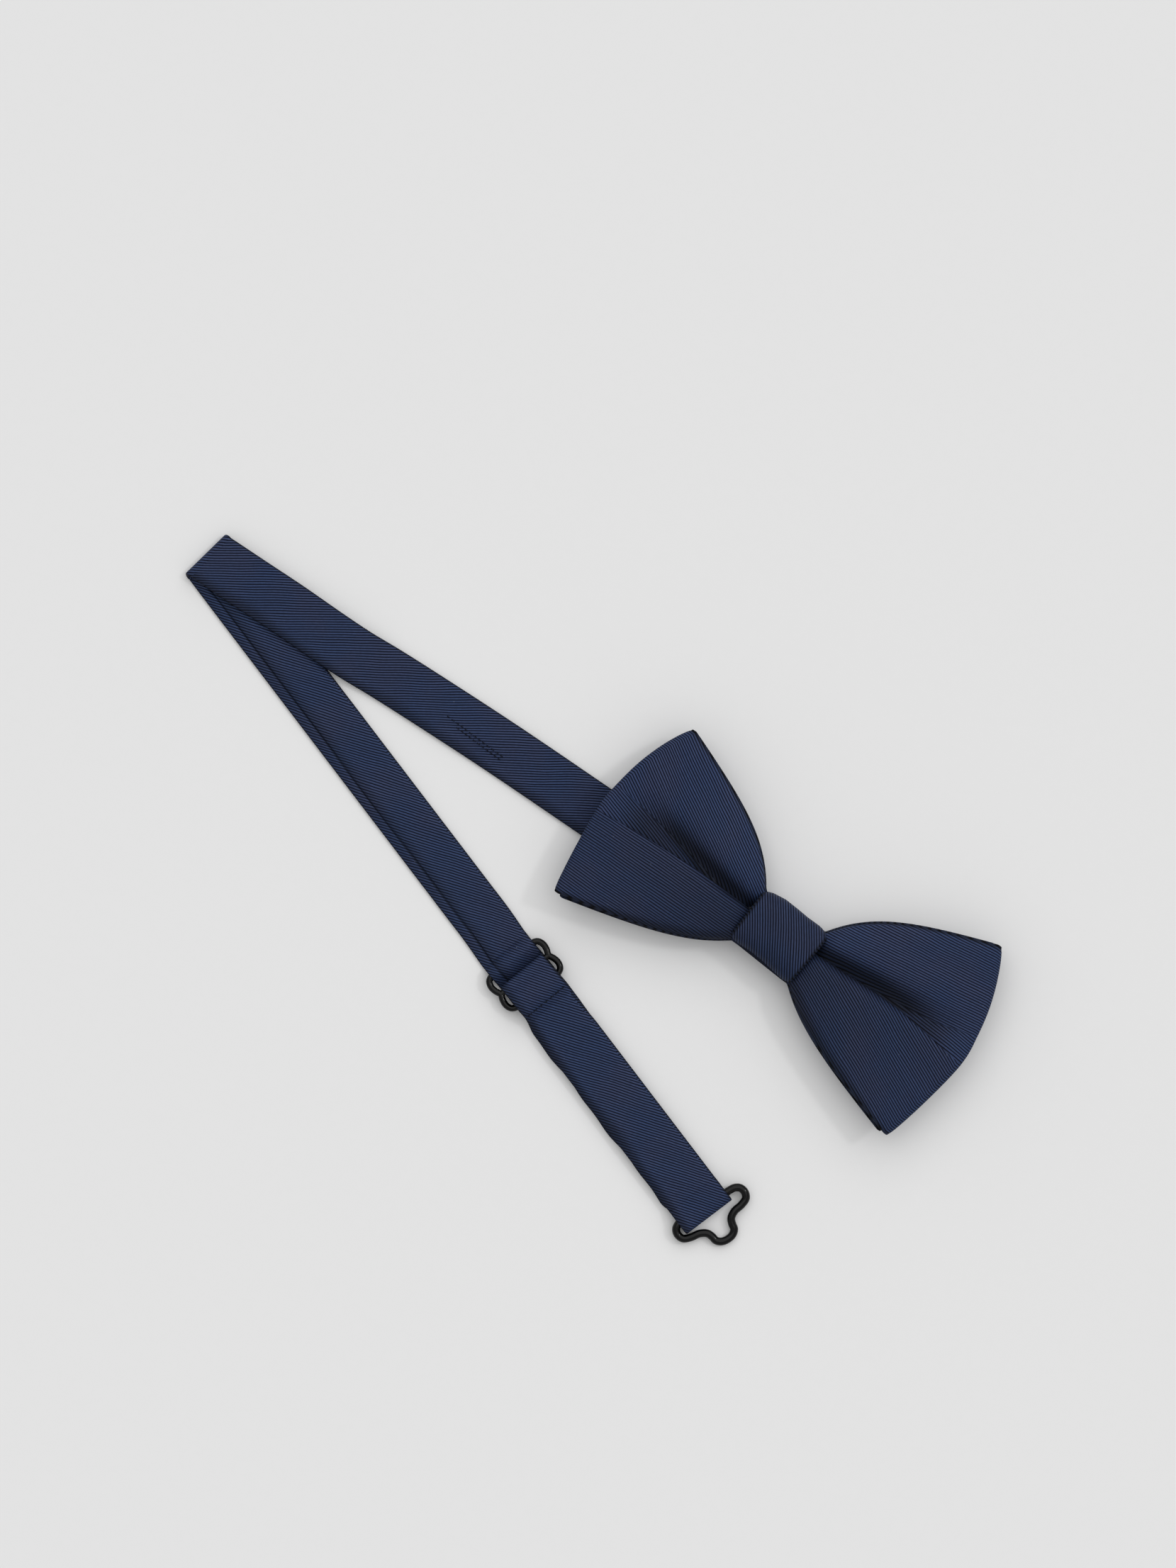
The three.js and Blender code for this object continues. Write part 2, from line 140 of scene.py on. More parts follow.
def maths(tree, operation, *values, clamp=False):
    return node(tree, "Math", enumerate(values), operation=operation, use_clamp=clamp).outputs[0]


def mix_colour(tree, share, a, b):
    return node(tree, "Mix", {0: share, 6: a, 7: b}, data_type="RGBA").outputs[2]


def smooth_step(tree, value, low, high):
    inputs = {"Value": value, "From Min": low, "From Max": high}
    return node(tree, "MapRange", inputs, interpolation_type="SMOOTHSTEP").outputs[0]


def noise(tree, vector, scale, detail=2.0):
    return node(tree, "TexNoise", {"Vector": vector, "Scale": scale, "Detail": detail}).outputs[0]


def bump(tree, height, strength, distance):
    inputs = {"Height": height, "Strength": strength, "Distance": distance * MM}
    return node(tree, "Bump", inputs).outputs[0]


CREST = (0.0375, 0.0520, 0.1140, 1)
CREST_COOL = (0.0300, 0.0505, 0.1200, 1)
# Painted shade for the grooves between ribs: a near-black navy.
RIB_GROOVE_SHADE = (0.0011, 0.0019, 0.0085, 1)
LINT = (0.16, 0.18, 0.23, 1)


def rib_group():
    """Rounded ribs of cloth: colour, height and roughness from millimetres across and along.
    Its third input is painted shade, from 0 to 1, which darkens the colour in creases, along rolled edges
    and by seams."""
    tree = bpy.data.node_groups.new("ribbed_cloth", "ShaderNodeTree")
    for name in ("Across", "Along", "Depth"):
        tree.interface.new_socket(name, in_out="INPUT", socket_type="NodeSocketFloat")
    tree.interface.new_socket("Colour", in_out="OUTPUT", socket_type="NodeSocketColor")
    for name in ("Height", "Roughness"):
        tree.interface.new_socket(name, in_out="OUTPUT", socket_type="NodeSocketFloat")
    given = tree.nodes.new("NodeGroupInput").outputs
    result = tree.nodes.new("NodeGroupOutput")

    where = node(tree, "CombineXYZ", {0: given["Across"], 1: given["Along"]}).outputs[0]
    waver_at = node(tree, "VectorMath", {0: where, 1: (0.5, 0.09, 0)}, operation="MULTIPLY").outputs[0]
    waver = maths(tree, "SUBTRACT", noise(tree, waver_at, 1.0), 0.5)
    drift = maths(tree, "SUBTRACT", noise(tree, where, 0.055, 1.0), 0.5)
    drifted = maths(tree, "MULTIPLY_ADD", drift, 1.1, given["Across"])
    shifted = maths(tree, "MULTIPLY_ADD", waver, 0.26, drifted)
    count = maths(tree, "DIVIDE", shifted, RIB_PITCH)
    from_crest = maths(tree, "ABSOLUTE", maths(tree, "SUBTRACT", maths(tree, "FRACT", count), 0.5))
    fall = maths(tree, "POWER", maths(tree, "MULTIPLY", from_crest, 2.0), 2.2)
    rise = maths(tree, "SUBTRACT", 1.0, fall)

    # Fine cross threads lie over each rib, a little out of step from one rib to the next.
    rib = maths(tree, "FLOOR", count)
    own = node(tree, "TexWhiteNoise", {"W": rib}, noise_dimensions="1D").outputs[0]
    step = maths(tree, "MULTIPLY_ADD", given["Along"], 17.0, maths(tree, "MULTIPLY", own, 6.0))
    thread = maths(tree, "SINE", step)
    height = maths(tree, "MULTIPLY_ADD", maths(tree, "MULTIPLY", thread, rise), 0.04, rise)

    # Colour: paler crests over grooves darkened with painted shade, slow changes of tone, and thread to
    # thread speckle.
    cloudy = noise(tree, where, 0.06, 3.0)
    speckle_at = node(tree, "VectorMath", {0: where, 1: (2.2, 1.1, 0)}, operation="MULTIPLY").outputs[0]
    speckle = noise(tree, speckle_at, 1.0)
    crest = mix_colour(tree, smooth_step(tree, cloudy, 0.35, 0.65), CREST, CREST_COOL)
    tone = maths(tree, "MULTIPLY_ADD", own, 0.12, maths(tree, "MULTIPLY_ADD", speckle, 0.6, 0.64))
    toned = node(tree, "VectorMath", {0: crest, "Scale": tone}, operation="SCALE").outputs[0]
    # Painted shade in the grooves: away from the crests the colour falls to the groove shade.
    lift = smooth_step(tree, rise, 0.38, 1.0)
    cloth = mix_colour(tree, lift, RIB_GROOVE_SHADE, toned)

    # A few specks of lint.
    cells = node(tree, "TexVoronoi", {"Vector": where, "Scale": 0.16, "Randomness": 1.0})
    speck = maths(tree, "LESS_THAN", cells.outputs["Distance"], 0.022)
    linted = mix_colour(tree, maths(tree, "MULTIPLY", speck, 0.45), cloth, LINT)
    # Painted shade: the colour darkens by up to 80 percent where the shade input is 1.
    lit = maths(tree, "MULTIPLY_ADD", given["Depth"], -0.8, 1.0, clamp=True)
    shaded = node(tree, "VectorMath", {0: linted, "Scale": lit}, operation="SCALE").outputs[0]
    rough = node(tree, "MapRange", {"Value": rise, "To Min": 0.85, "To Max": 0.55}).outputs[0]
    feed(tree, result, {"Colour": shaded, "Height": height, "Roughness": rough})
    return tree


RIBS = rib_group()


def ribbed_cloth(name, across_along):
    """Ribbed cloth. across_along makes the two rib coordinates' sockets in the material's tree."""
    material, tree, shader = new_material(name)
    across, along = across_along(tree)
    # The depth attribute holds painted shade, which darkens the ribs' colour.
    depth = node(tree, "Attribute", attribute_name="depth", attribute_type="GEOMETRY").outputs["Fac"]
    given = {"Across": across, "Along": along, "Depth": depth}
    ribs = node(tree, "Group", given, node_tree=RIBS).outputs
    feed(tree, shader, {
        "Base Color": ribs["Colour"],
        "Roughness": ribs["Roughness"],
        "Normal": bump(tree, ribs["Height"], 0.8, 0.13),
        "Specular IOR Level": 0.12,
        "Sheen Weight": 0.03,
        "Sheen Roughness": 0.45,
        "Sheen Tint": (0.55, 0.62, 0.85, 1),
    })
    return material


def from_uv(tree):
    uv = node(tree, "UVMap", uv_map="ribs").outputs[0]
    split = node(tree, "SeparateXYZ", {0: uv}).outputs
    return split[0], split[1]


def from_place(angle):
    """Rib coordinates from the place on the plane, with ribs running at an angle to +X."""

    def sockets(tree):
        where = node(tree, "TexCoord").outputs["Object"]
        x, y, _ = node(tree, "SeparateXYZ", {0: where}).outputs
        cos, sin = math.cos(angle) / MM, math.sin(angle) / MM
        across = maths(tree, "MULTIPLY_ADD", y, cos, maths(tree, "MULTIPLY", x, -sin))
        along = maths(tree, "MULTIPLY_ADD", y, sin, maths(tree, "MULTIPLY", x, cos))
        return across, along

    return sockets


def wire_material():
    material, tree, shader = new_material("coated_wire")
    where = node(tree, "TexCoord").outputs["Object"]
    worn = smooth_step(tree, noise(tree, where, 900.0, 3.0), 0.62, 0.75)
    colour = mix_colour(tree, worn, (0.0012, 0.0013, 0.0015, 1), (0.004, 0.0042, 0.0046, 1))
    feed(tree, shader, {
        "Base Color": colour,
        "Roughness": maths(tree, "MULTIPLY_ADD", noise(tree, where, 350.0), 0.12, 0.07),
        "Normal": bump(tree, noise(tree, where, 420.0), 0.3, 0.12),
        "Specular IOR Level": 0.22,
    })
    return material


def plain_cloth(name, dark, light, scale):
    """Felt, wadding or thread: two tones of fine fibres with a soft bump."""
    material, tree, shader = new_material(name)
    where = node(tree, "TexCoord").outputs["Object"]
    fibres = noise(tree, where, scale, 4.0)
    feed(tree, shader, {
        "Base Color": mix_colour(tree, smooth_step(tree, fibres, 0.35, 0.65), dark, light),
        "Normal": bump(tree, fibres, 0.6, 0.15),
        "Roughness": 0.9,
        "Specular IOR Level": 0.2,
    })
    return material


CLOTH = ribbed_cloth("ribbed_cloth", from_uv)
CLOTH_LEG = ribbed_cloth("ribbed_cloth_leg", from_place(LOWER_RIB_ANGLE))
CLOTH_LEG_BACK = ribbed_cloth("ribbed_cloth_leg_back", from_place(UPPER_RIB_ANGLE))
WIRE = wire_material()
INTERLINING = plain_cloth("interlining", (0.02, 0.022, 0.026, 1), (0.05, 0.052, 0.058, 1), 1500.0)
PADDING = plain_cloth("padding", (0.08, 0.085, 0.09, 1), (0.16, 0.165, 0.17, 1), 800.0)
THREAD_CLOTH = plain_cloth("thread", (0.002, 0.003, 0.008, 1), (0.010, 0.013, 0.026, 1), 3000.0)


# ---- Meshes ----


def smooth_path(points, count, closed=False):
    """Centripetal Catmull-Rom curve through the points, in steps of even length."""
    p = np.asarray(points, float)
    if closed:
        p = np.vstack([p[-1], p, p[:2]])
    else:
        p = np.vstack([2 * p[0] - p[1], p, 2 * p[-1] - p[-2]])
    dense = []
    for a, b, c, d in zip(p, p[1:], p[2:], p[3:]):
        ta, tb = 0.0, math.sqrt(np.linalg.norm(b - a))
        tc = tb + math.sqrt(np.linalg.norm(c - b))
        td = tc + math.sqrt(np.linalg.norm(d - c))
        t = np.linspace(tb, tc, 24, endpoint=False)[:, None]
        ab = ((tb - t) * a + (t - ta) * b) / (tb - ta)
        bc = ((tc - t) * b + (t - tb) * c) / (tc - tb)
        cd = ((td - t) * c + (t - tc) * d) / (td - tc)
        abc = ((tc - t) * ab + (t - ta) * bc) / (tc - ta)
        bcd = ((td - t) * bc + (t - tb) * cd) / (td - tb)
        dense.append(((tc - t) * abc + (t - tb) * bcd) / (tc - tb))
    dense = np.vstack([*dense, p[-2:-1]])
    length = lengths_along(dense)
    at = np.linspace(0, length[-1], count, endpoint=not closed)
    return np.column_stack([np.interp(at, length, dense[:, k]) for k in range(dense.shape[1])])


def lengths_along(line):
    steps = np.linalg.norm(np.diff(line, axis=0), axis=1)
    return np.concatenate([[0], np.cumsum(steps)])


def directions(line, closed=False):
    if closed:
        ahead, behind = np.roll(line, -1, axis=0), np.roll(line, 1, axis=0)
    else:
        ahead = np.vstack([line[1:], line[-1:]])
        behind = np.vstack([line[:1], line[:-1]])
    step = ahead - behind
    return step / np.linalg.norm(step, axis=1)[:, None]


def ring_faces(rows, cols, closed_rows):
    """The rows and columns of the corners of faces between rings, and the faces as vertex numbers,
    with the two that fill open ends."""
    r = np.arange(rows if closed_rows else rows - 1)
    r, c = (a.ravel() for a in np.meshgrid(r, np.arange(cols), indexing="ij"))
    corners = [(r, c), (r + 1, c), (r + 1, c + 1), (r, c + 1)]
    faces = np.stack([(a % rows) * cols + b % cols for a, b in corners], axis=1).tolist()
    if not closed_rows:
        faces += [list(range(cols)), list(range((rows - 1) * cols, rows * cols))]
    return corners, faces


def grid_mesh(name, points, uv, materials, body, closed_rows=False, back_from=None, depth=None):
    """A mesh over rings of points (rows, columns, xyz). Every ring is closed, and open ends are
    filled. uv has one more column than the rings, and one more row where the rows close too.
    Columns from back_from on take the second material. depth is painted shade, 0 to 1 at
    each point, kept as an attribute that darkens the cloth's colour."""
    rows, cols = points.shape[:2]
    if uv is None:
        uv = np.zeros((rows + 1, cols + 1, 2))
    corners, faces = ring_faces(rows, cols, closed_rows)
    places = np.stack([uv[a, b] for a, b in corners], axis=1).reshape(-1, 2)
    if not closed_rows:
        places = np.vstack([places, uv[0, :cols], uv[-1, :cols]])
    mesh = bpy.data.meshes.new(name)
    mesh.from_pydata((points.reshape(-1, 3) * MM).tolist(), [], faces)
    layer = mesh.uv_layers.new(name="ribs")
    layer.data.foreach_set("uv", places.astype(np.float32).ravel())
    if depth is not None:
        stored = mesh.attributes.new("depth", "FLOAT", "POINT")
        values = np.broadcast_to(depth, (rows, cols)).astype(np.float32)
        stored.data.foreach_set("value", values.ravel())
    for material in materials:
        mesh.materials.append(material)
    if back_from is not None:
        second = np.zeros(len(faces), np.int32)
        column = corners[0][1]
        second[: len(column)] = column >= back_from
        mesh.polygons.foreach_set("material_index", second)
    return finish_piece(mesh, name, body)


def finish_piece(mesh, name, body):
    work = bmesh.new()
    work.from_mesh(mesh)
    bmesh.ops.recalc_face_normals(work, faces=work.faces)
    bmesh.ops.triangulate(work, faces=[face for face in work.faces if len(face.verts) > 4])
    work.to_mesh(mesh)
    work.free()
    mesh.shade_smooth()
    mesh.set_sharp_from_angle(angle=50 * DEGREE)
    piece = bpy.data.objects.new(name, mesh)
    bpy.context.scene.collection.objects.link(piece)
    if body:
        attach(piece, body)
    return piece


EDGE_POINTS = 6


def section(flat_count):
    """A flat strip's section: place across its flat, and the edge arcs' share outwards and upwards.
    It runs over the top from the + edge, round the - edge, back beneath, and round the + edge."""
    flat = np.linspace(1, -1, flat_count)
    turn = np.linspace(90, 270, EDGE_POINTS + 2)[1:-1] * DEGREE
    ones = np.ones(EDGE_POINTS)
    flat_zero = np.zeros(flat_count)
    across = np.concatenate([flat, -ones, -flat, ones])
    out = np.concatenate([flat_zero, np.cos(turn), flat_zero, -np.cos(turn)])
    up = np.concatenate([flat_zero + 1, np.sin(turn), flat_zero - 1, -np.sin(turn)])
    return across, out, up


def strip_points(line, side, width, thick, flat_count=20, lift=None):
    """Rings of a flat strip along a line. side is the direction across it at each point.
    lift adds height to a place, from how far along and how far across it is."""
    count = len(line)
    side = np.broadcast_to(side, (count, 3))
    up = np.cross(directions(line), side)
    up /= np.linalg.norm(up, axis=1)[:, None]
    width, thick = (np.broadcast_to(a, count)[:, None] for a in (width, thick))
    across, out, rise = section(flat_count)
    y = across * (width - thick) / 2 + out * thick / 2
    z = rise * thick / 2
    if lift is not None:
        z = z + lift(lengths_along(line)[:, None], y, rise)
    return line[:, None] + y[..., None] * side[:, None] + z[..., None] * up[:, None], y


# Painted shade along the rolled edges of strips, wings and the knot.
PAINTED_EDGE_SHADE = 0.95


def seam_place(along):
    """How far across the strap its seam is. It wanders a little along the strap."""
    return SEAM_AT + 0.12 * np.sin(along / 19) + 0.08 * np.sin(along / 7.3)


def painted_strip_shade(line, y, low_side_shade, seam_shade):
    """Painted shade on a strip: along its rolled edges, over a broad roll to its - side, and in and
    beside a seam.
    """
    along = lengths_along(line)[:, None]
    half = np.max(np.abs(y), axis=1)[:, None]
    edge = PAINTED_EDGE_SHADE * smooth(np.abs(y), half - 0.55, half - 0.1)
    wander = 0.75 * np.sin(along / 9.0) + 0.45 * np.sin(along / 3.9 + 1.0)
    roll = low_side_shade * smooth(-y, half - 3.4 + wander, half - 0.5)
    depth = np.maximum(edge, roll)
    if seam_shade:
        seam = seam_place(along)
        # Painted shade in the seam's groove and in a band beside it.
        seam_line_shade = 0.95 * np.exp(-(((y - seam + 0.2) / 0.32) ** 2))
        shade = 0.45 * smooth(seam + 3.2 - y, 0, 3.0) * (y > seam)
        depth = np.maximum(depth, seam_shade * np.maximum(seam_line_shade, shade))
    return depth


def flat_ribs(points, angle):
    """Rib coordinates from the place seen from above, for a strip that lies nearly flat."""
    x, y = points[..., 0], points[..., 1]
    across = y * math.cos(angle) - x * math.sin(angle)
    along = x * math.cos(angle) + y * math.sin(angle)
    return closed_columns(np.stack([across, along], axis=-1))


def rolled_ribs(line, y, angle, start):
    """Rib coordinates from the length along the strip, for one that rolls over on itself."""
    along = lengths_along(line)[:, None] + 0 * y
    across = y * math.cos(angle) - along * math.sin(angle) + start
    run = along * math.cos(angle) + y * math.sin(angle)
    return closed_columns(np.stack([across, run], axis=-1))


def closed_columns(uv):
    return np.concatenate([uv, uv[:, :1]], axis=1)


def tube_points(line, radius, closed, around=16):
    """Rings round a line, carried along it without twisting."""
    along = directions(line, closed)
    normal = np.cross(along[0], unit(along[0] + [0.31, 0.57, 0.76]))
    normals = []
    for direction in along:
        normal = unit(normal - direction * (normal @ direction))
        normals.append(normal)
    normals = np.array(normals)
    binormals = np.cross(along, normals)
    twist = 0.0
    if closed:
        last = unit(normals[-1] - along[0] * (normals[-1] @ along[0]))
        twist = math.atan2(last @ binormals[0], last @ normals[0])
    turn = np.linspace(0, 2 * math.pi, around, endpoint=False)[None, :]
    turn = turn - twist * (np.arange(len(line)) / len(line))[:, None]
    radius = np.broadcast_to(radius, len(line))[:, None, None]
    ring = np.cos(turn)[..., None] * normals[:, None] + np.sin(turn)[..., None] * binormals[:, None]
    return line[:, None] + radius * ring


def wire(name, line, radius, body, closed=True):
    piece = grid_mesh(name, tube_points(line, radius, closed), None, [WIRE], body, closed_rows=closed)
    return piece


def joined(name, parts, material, body):
    """One piece from several open tubes."""
    vertices, faces, first = [], [], 0
    for points in parts:
        rows, cols = points.shape[:2]
        faces += [[first + corner for corner in face] for face in ring_faces(rows, cols, False)[1]]
        vertices.append(points.reshape(-1, 3))
        first += rows * cols
    mesh = bpy.data.meshes.new(name)
    mesh.from_pydata((np.vstack(vertices) * MM).tolist(), [], faces)
    mesh.materials.append(material)
    return finish_piece(mesh, name, body)


STITCH_ARCH = [(-0.5, -0.5), (-0.42, 0.35), (-0.2, 0.8), (0, 0.9), (0.2, 0.8), (0.42, 0.35), (0.5, -0.5)]


def stitch_row(name, a, b, up, body, pitch=1.9, share=0.68):
    """Small separate stitches in a row from a to b, each one arched over the cloth."""
    a, b, up = (np.asarray(v, float) for v in (a, b, up))
    count = max(2, round(np.linalg.norm(b - a) / pitch))
    step = (b - a) / count
    parts = []
    for i in range(count):
        middle = a + step * (i + 0.5)
        line = np.array([middle + step * share * s + up * h * THREAD for s, h in STITCH_ARCH])
        radius = THREAD * np.array([0.5, 0.85, 1, 1, 1, 0.85, 0.5])
        parts.append(tube_points(smooth_path(line, 7), radius, False, around=8))
    piece = joined(name, parts, THREAD_CLOTH, body)
    return piece


def clamp(value):
    return np.minimum(np.maximum(value, 0.0), 1.0)


def smooth(value, low, high):
    """0 below low and 1 above high, with a smooth rise between them."""
    t = clamp((value - low) / (high - low))
    return t * t * (3 - 2 * t)


# ---- Bow ----

WING_START = 10.0
WING_INSIDE = 7.5
WING_TIP = 60.0
TIP_MIDDLE_Y = 2.0
TIP_FOLD = 1.2

# Each wing's outline. An edge is its half-height at the knot, then how fast and how far it flares,
# and how it rises. A tip is how far the corners fall back, as a factor and a power. The valley and
# the crease part the wing into an upper lobe, a band and a lower lobe: each list is the line's y
# from the knot to the tip. Rib angles are in degrees from +X, seen from the front.
RIGHT_WING = {
    "side": 1,
    "reach": 62.7,
    "top": {"start": 8.6, "flare": 11.0, "within": 0.21, "rise": 15.3, "span": 43, "corner": 34.8},
    "bottom": {"start": 9.2, "flare": 6.5, "within": 0.25, "rise": 11.6, "span": 45, "corner": 26.2},
    "tip_top": (0.0222, 1.745),
    "tip_bottom": (0.0498, 1.398),
    "valley": [2.9, 3.4, 4.3, 5.0, 6.3, 9.6],
    "crease": [2.2, 2.9, 3.4, 3.3, 2.1, 1.0],
    "crease_depth": [2.3, 2.2, 1.9, 1.3, 0.6, 0.15],
    "ribs": {"upper": 9.0, "band": -3.0, "lower": -24.0},
}
LEFT_WING = {
    "side": -1,
    "reach": 62.4,
    "top": {"start": 8.6, "flare": 10.2, "within": 0.21, "rise": 15.2, "span": 43, "corner": 34.0},
    "bottom": {"start": 8.4, "flare": 7.0, "within": 0.25, "rise": 10.2, "span": 45, "corner": 25.4},
    "tip_top": (0.0216, 1.745),
    "tip_bottom": (0.0288, 1.476),
    "valley": [2.4, 2.9, 4.2, 6.0, 7.4, 8.6],
    "crease": [1.8, 2.2, 2.2, 1.6, 0.9, -0.3],
    "crease_depth": [2.0, 1.7, 1.2, 0.8, 0.45, 0.15],
    "ribs": {"upper": -29.5, "band": -16.0, "lower": 1.5},
}

# Heights of each bow's two layers, at the knot, midway and at the wing's outer edge. crown is how
# far the lobes puff out, pleat how much of the folding there is, and one more gives painted shade
# over the whole bow, strong on the rear bow in the front bow's shadow.
# inset and spread move its corners inwards and apart.
FRONT_BOW = {
    "front": (8.7, 10.2, 10.9),
    "back": (7.2, 7.5, 9.7),
    "crown": 3.4,
    "back_crown": 0.0,
    "pleat": 1.0,
    "painted_overall_shade": 0.0,
    "thick": 1.0,
    "inset": {"top": 0.0, "bottom": 0.0},
    "spread": {"top": 0.0, "bottom": 0.0},
}
REAR_BOW = {
    "front": (5.6, 5.9, 8.3),
    "back": (3.9, 4.2, 7.1),
    "crown": 0.3,
    "back_crown": 0.5,
    "pleat": 0.1,
    "painted_overall_shade": 0.55,
    "thick": 1.0,
    "inset": {"top": 1.4, "bottom": 1.9},
    "spread": {"top": 0.1, "bottom": 0.9},
}


def edge_height(x, edge):
    s = np.maximum(0, (x - WING_START) / edge["span"])
    return edge["start"] + edge["flare"] * (1 - np.exp(-s / edge["within"])) + edge["rise"] * s


def wing_share(x):
    return clamp((x - WING_START) / (WING_TIP - WING_START))


def along_wing(values, s):
    return np.interp(s, np.linspace(0, 1, len(values)), values)


def tip_x(wing, bow, y):
    """How far out the wing reaches at a height across its tip."""
    fall = np.abs(y - TIP_MIDDLE_Y)
    top = wing["tip_top"][0] * fall ** wing["tip_top"][1]
    bottom = wing["tip_bottom"][0] * fall ** wing["tip_bottom"][1]
    top_inset = bow["inset"]["top"] * np.abs(y) / wing["top"]["corner"]
    bottom_inset = bow["inset"]["bottom"] * np.abs(y) / wing["bottom"]["corner"]
    inset = np.where(y > 0, top_inset, bottom_inset)
    return wing["reach"] - TIP_FOLD - np.where(y > TIP_MIDDLE_Y, top, bottom) - inset


UPPER_COUNT = 34
BAND_COUNT = 9
WALL_COUNT = 6
LOWER_COUNT = 34
FACE_COUNT = UPPER_COUNT + BAND_COUNT + WALL_COUNT + LOWER_COUNT
WALL_RUN = 0.35
VALLEY_DEPTH = [3.0, 3.4, 3.4, 2.9, 1.5, 0.3]


def wing_columns():
    """Places across a wing, from its top edge to its bottom edge: shares of the upper lobe, the
    band and the crease's wall still to go, and the share of the lower lobe gone."""
    upper = np.linspace(1, 0, UPPER_COUNT) ** 1.25
    band = np.linspace(0.94, 0.06, BAND_COUNT)
    wall = np.linspace(1, 0, WALL_COUNT)
    lower = np.linspace(0, 1, LOWER_COUNT + 1)[1:] ** 1.25
    start, columns = 0, []
    for span, before in ((upper, 1), (band, 1), (wall, 1), (lower, 0)):
        left = FACE_COUNT - start - len(span)
        columns.append(np.pad(span, (start, left), constant_values=(before, 0)))
        start += len(span)
    return columns


def ring_columns():
    """The wing's columns all round its section: outer face, edge arc, inner face, edge arc."""
    _, out, rise = section(FACE_COUNT)
    columns = []
    for column in wing_columns():
        first, last = np.full(EDGE_POINTS, column[0]), np.full(EDGE_POINTS, column[-1])
        columns.append(np.concatenate([column, last, column[::-1], first]))
    return columns, out, rise


def across_wing(columns, top, bottom, valley, crease):
    """The y of each column of a wing, from the heights of its edges, valley and crease."""
    upper, band, wall, lower = columns
    y = crease + WALL_RUN * wall + (valley - crease - WALL_RUN) * band
    return y + (top - valley) * upper - (bottom + crease) * lower


def wing_plan(wing, bow, share, columns):
    """A wing seen from the front, at a share of its length from the knot out: x and y, how far out
    x is from 0 to 1, and the y of its edges, valley and crease."""
    corners = wing["top"]["corner"], wing["bottom"]["corner"]
    tip_y = across_wing(columns, *corners, wing["valley"][-1], wing["crease"][-1])
    x = WING_INSIDE + (tip_x(wing, bow, tip_y) - WING_INSIDE) * share
    s = wing_share(x)
    top = edge_height(x, wing["top"]) + bow["spread"]["top"] * s - bow["thick"] / 2
    bottom = edge_height(x, wing["bottom"]) + bow["spread"]["bottom"] * s - bow["thick"] / 2
    crease = along_wing(wing["crease"], s)
    valley = np.maximum(along_wing(wing["valley"], s), crease + WALL_RUN + 0.15)
    y = across_wing(columns, top, bottom, valley, crease)
    return x, y, s, top, bottom, valley, crease


def valley_dip(bow, s, from_valley):
    """How deep the valley is, at a distance from its line."""
    dip_depth = bow["pleat"] * along_wing(VALLEY_DEPTH, s)
    width = np.where(from_valley > 0, 3.0 + 3.6 * s, 1.4 + 1.6 * s)
    return dip_depth * np.exp(-((from_valley / width) ** 2))


def painted_wing_shade(bow, columns, s, drop, near_edge):
    """Painted shade on a wing: valley, rolled lower edge, edges, lower lobe, band, whole bow."""
    _, band, wall, lower = columns
    roll_width = 0.3 + 9.0 * (1 - s) ** 1.3
    # Painted shade where the lower lobe rolls under at its lower edge.
    rolled = 0.85 * smooth(roll_width - near_edge, 0, roll_width) * (lower > 0)
    edge_shade = PAINTED_EDGE_SHADE * smooth(0.35 - near_edge, 0, 0.3)
    painted_shade = np.maximum(smooth(drop, 0.3, 3.2), np.maximum(rolled, edge_shade))
    # Painted shade over the lower lobe, darkest by the knot, and over the band.
    in_band = (band < 1) & (wall == 1)
    shaded = (0.18 + 0.34 * (1 - s) ** 1.5) * (lower > 0) + 0.68 * in_band * smooth(s, 1.0, 0.75)
    return np.maximum(painted_shade, bow["painted_overall_shade"] + (1 - bow["painted_overall_shade"]) * shaded)


def wing_surface(wing, bow, share, columns, layer):
    """x, y and z over one layer of a wing, the rib coordinate, and its painted shade.
    share runs from the knot out."""
    _, band, wall, lower = columns
    x, y, s, top, bottom, valley, crease = wing_plan(wing, bow, share, columns)
    rib = wing_rib(wing, x, y, band, wall)
    at_knot, midway, at_tip = bow[layer]
    flat = at_knot * (1 - s) * (1 - 2 * s) + 4 * midway * s * (1 - s) + at_tip * s * (2 * s - 1)
    t = np.where(y > 0, y / top, y / bottom)
    squeeze = 0.2 + 0.8 * smooth(x, WING_INSIDE, WING_START + 5)
    puff = crown(t, s) * ((1 - s) ** 1.15 + 0.12) * squeeze
    if layer == "back":
        return x, y, flat - bow["back_crown"] * puff, rib, 0 * x
    z = flat + bow["crown"] * puff
    depth = along_wing(wing["crease_depth"], s) * bow["pleat"]
    behind = np.maximum(0, y - crease - WALL_RUN)
    fallen = depth * smooth(wall, 0, 1) * np.exp(-behind / (1.6 + 3.0 * s))
    rounded = 0.35 * depth * np.exp(-lower * bottom / 0.7)
    tucked = (WALL_RUN + np.maximum(0, depth - 1.0)) * wall * np.exp(-behind / 1.5)
    dip = valley_dip(bow, s, y - valley)
    drop = np.maximum(dip, fallen) + 0.4 * np.minimum(dip, fallen)
    z = z - drop - rounded * (wall == 0) + wobble(wing, x, y) * bow["pleat"] * smooth(s, 0.0, 0.3)
    painted_shade = painted_wing_shade(bow, columns, s, drop, np.minimum(top - y, bottom + y))
    return x, y - tucked, z, rib, painted_shade


def wobble(wing, x, y):
    """Slow unevenness of the hand-shaped cloth."""
    phase = wing["side"] * 1.7
    return 0.16 * np.sin(x / 9.0 + y / 14.0 + phase) + 0.12 * np.sin(y / 7.5 - x / 17.0 + 2 * phase)


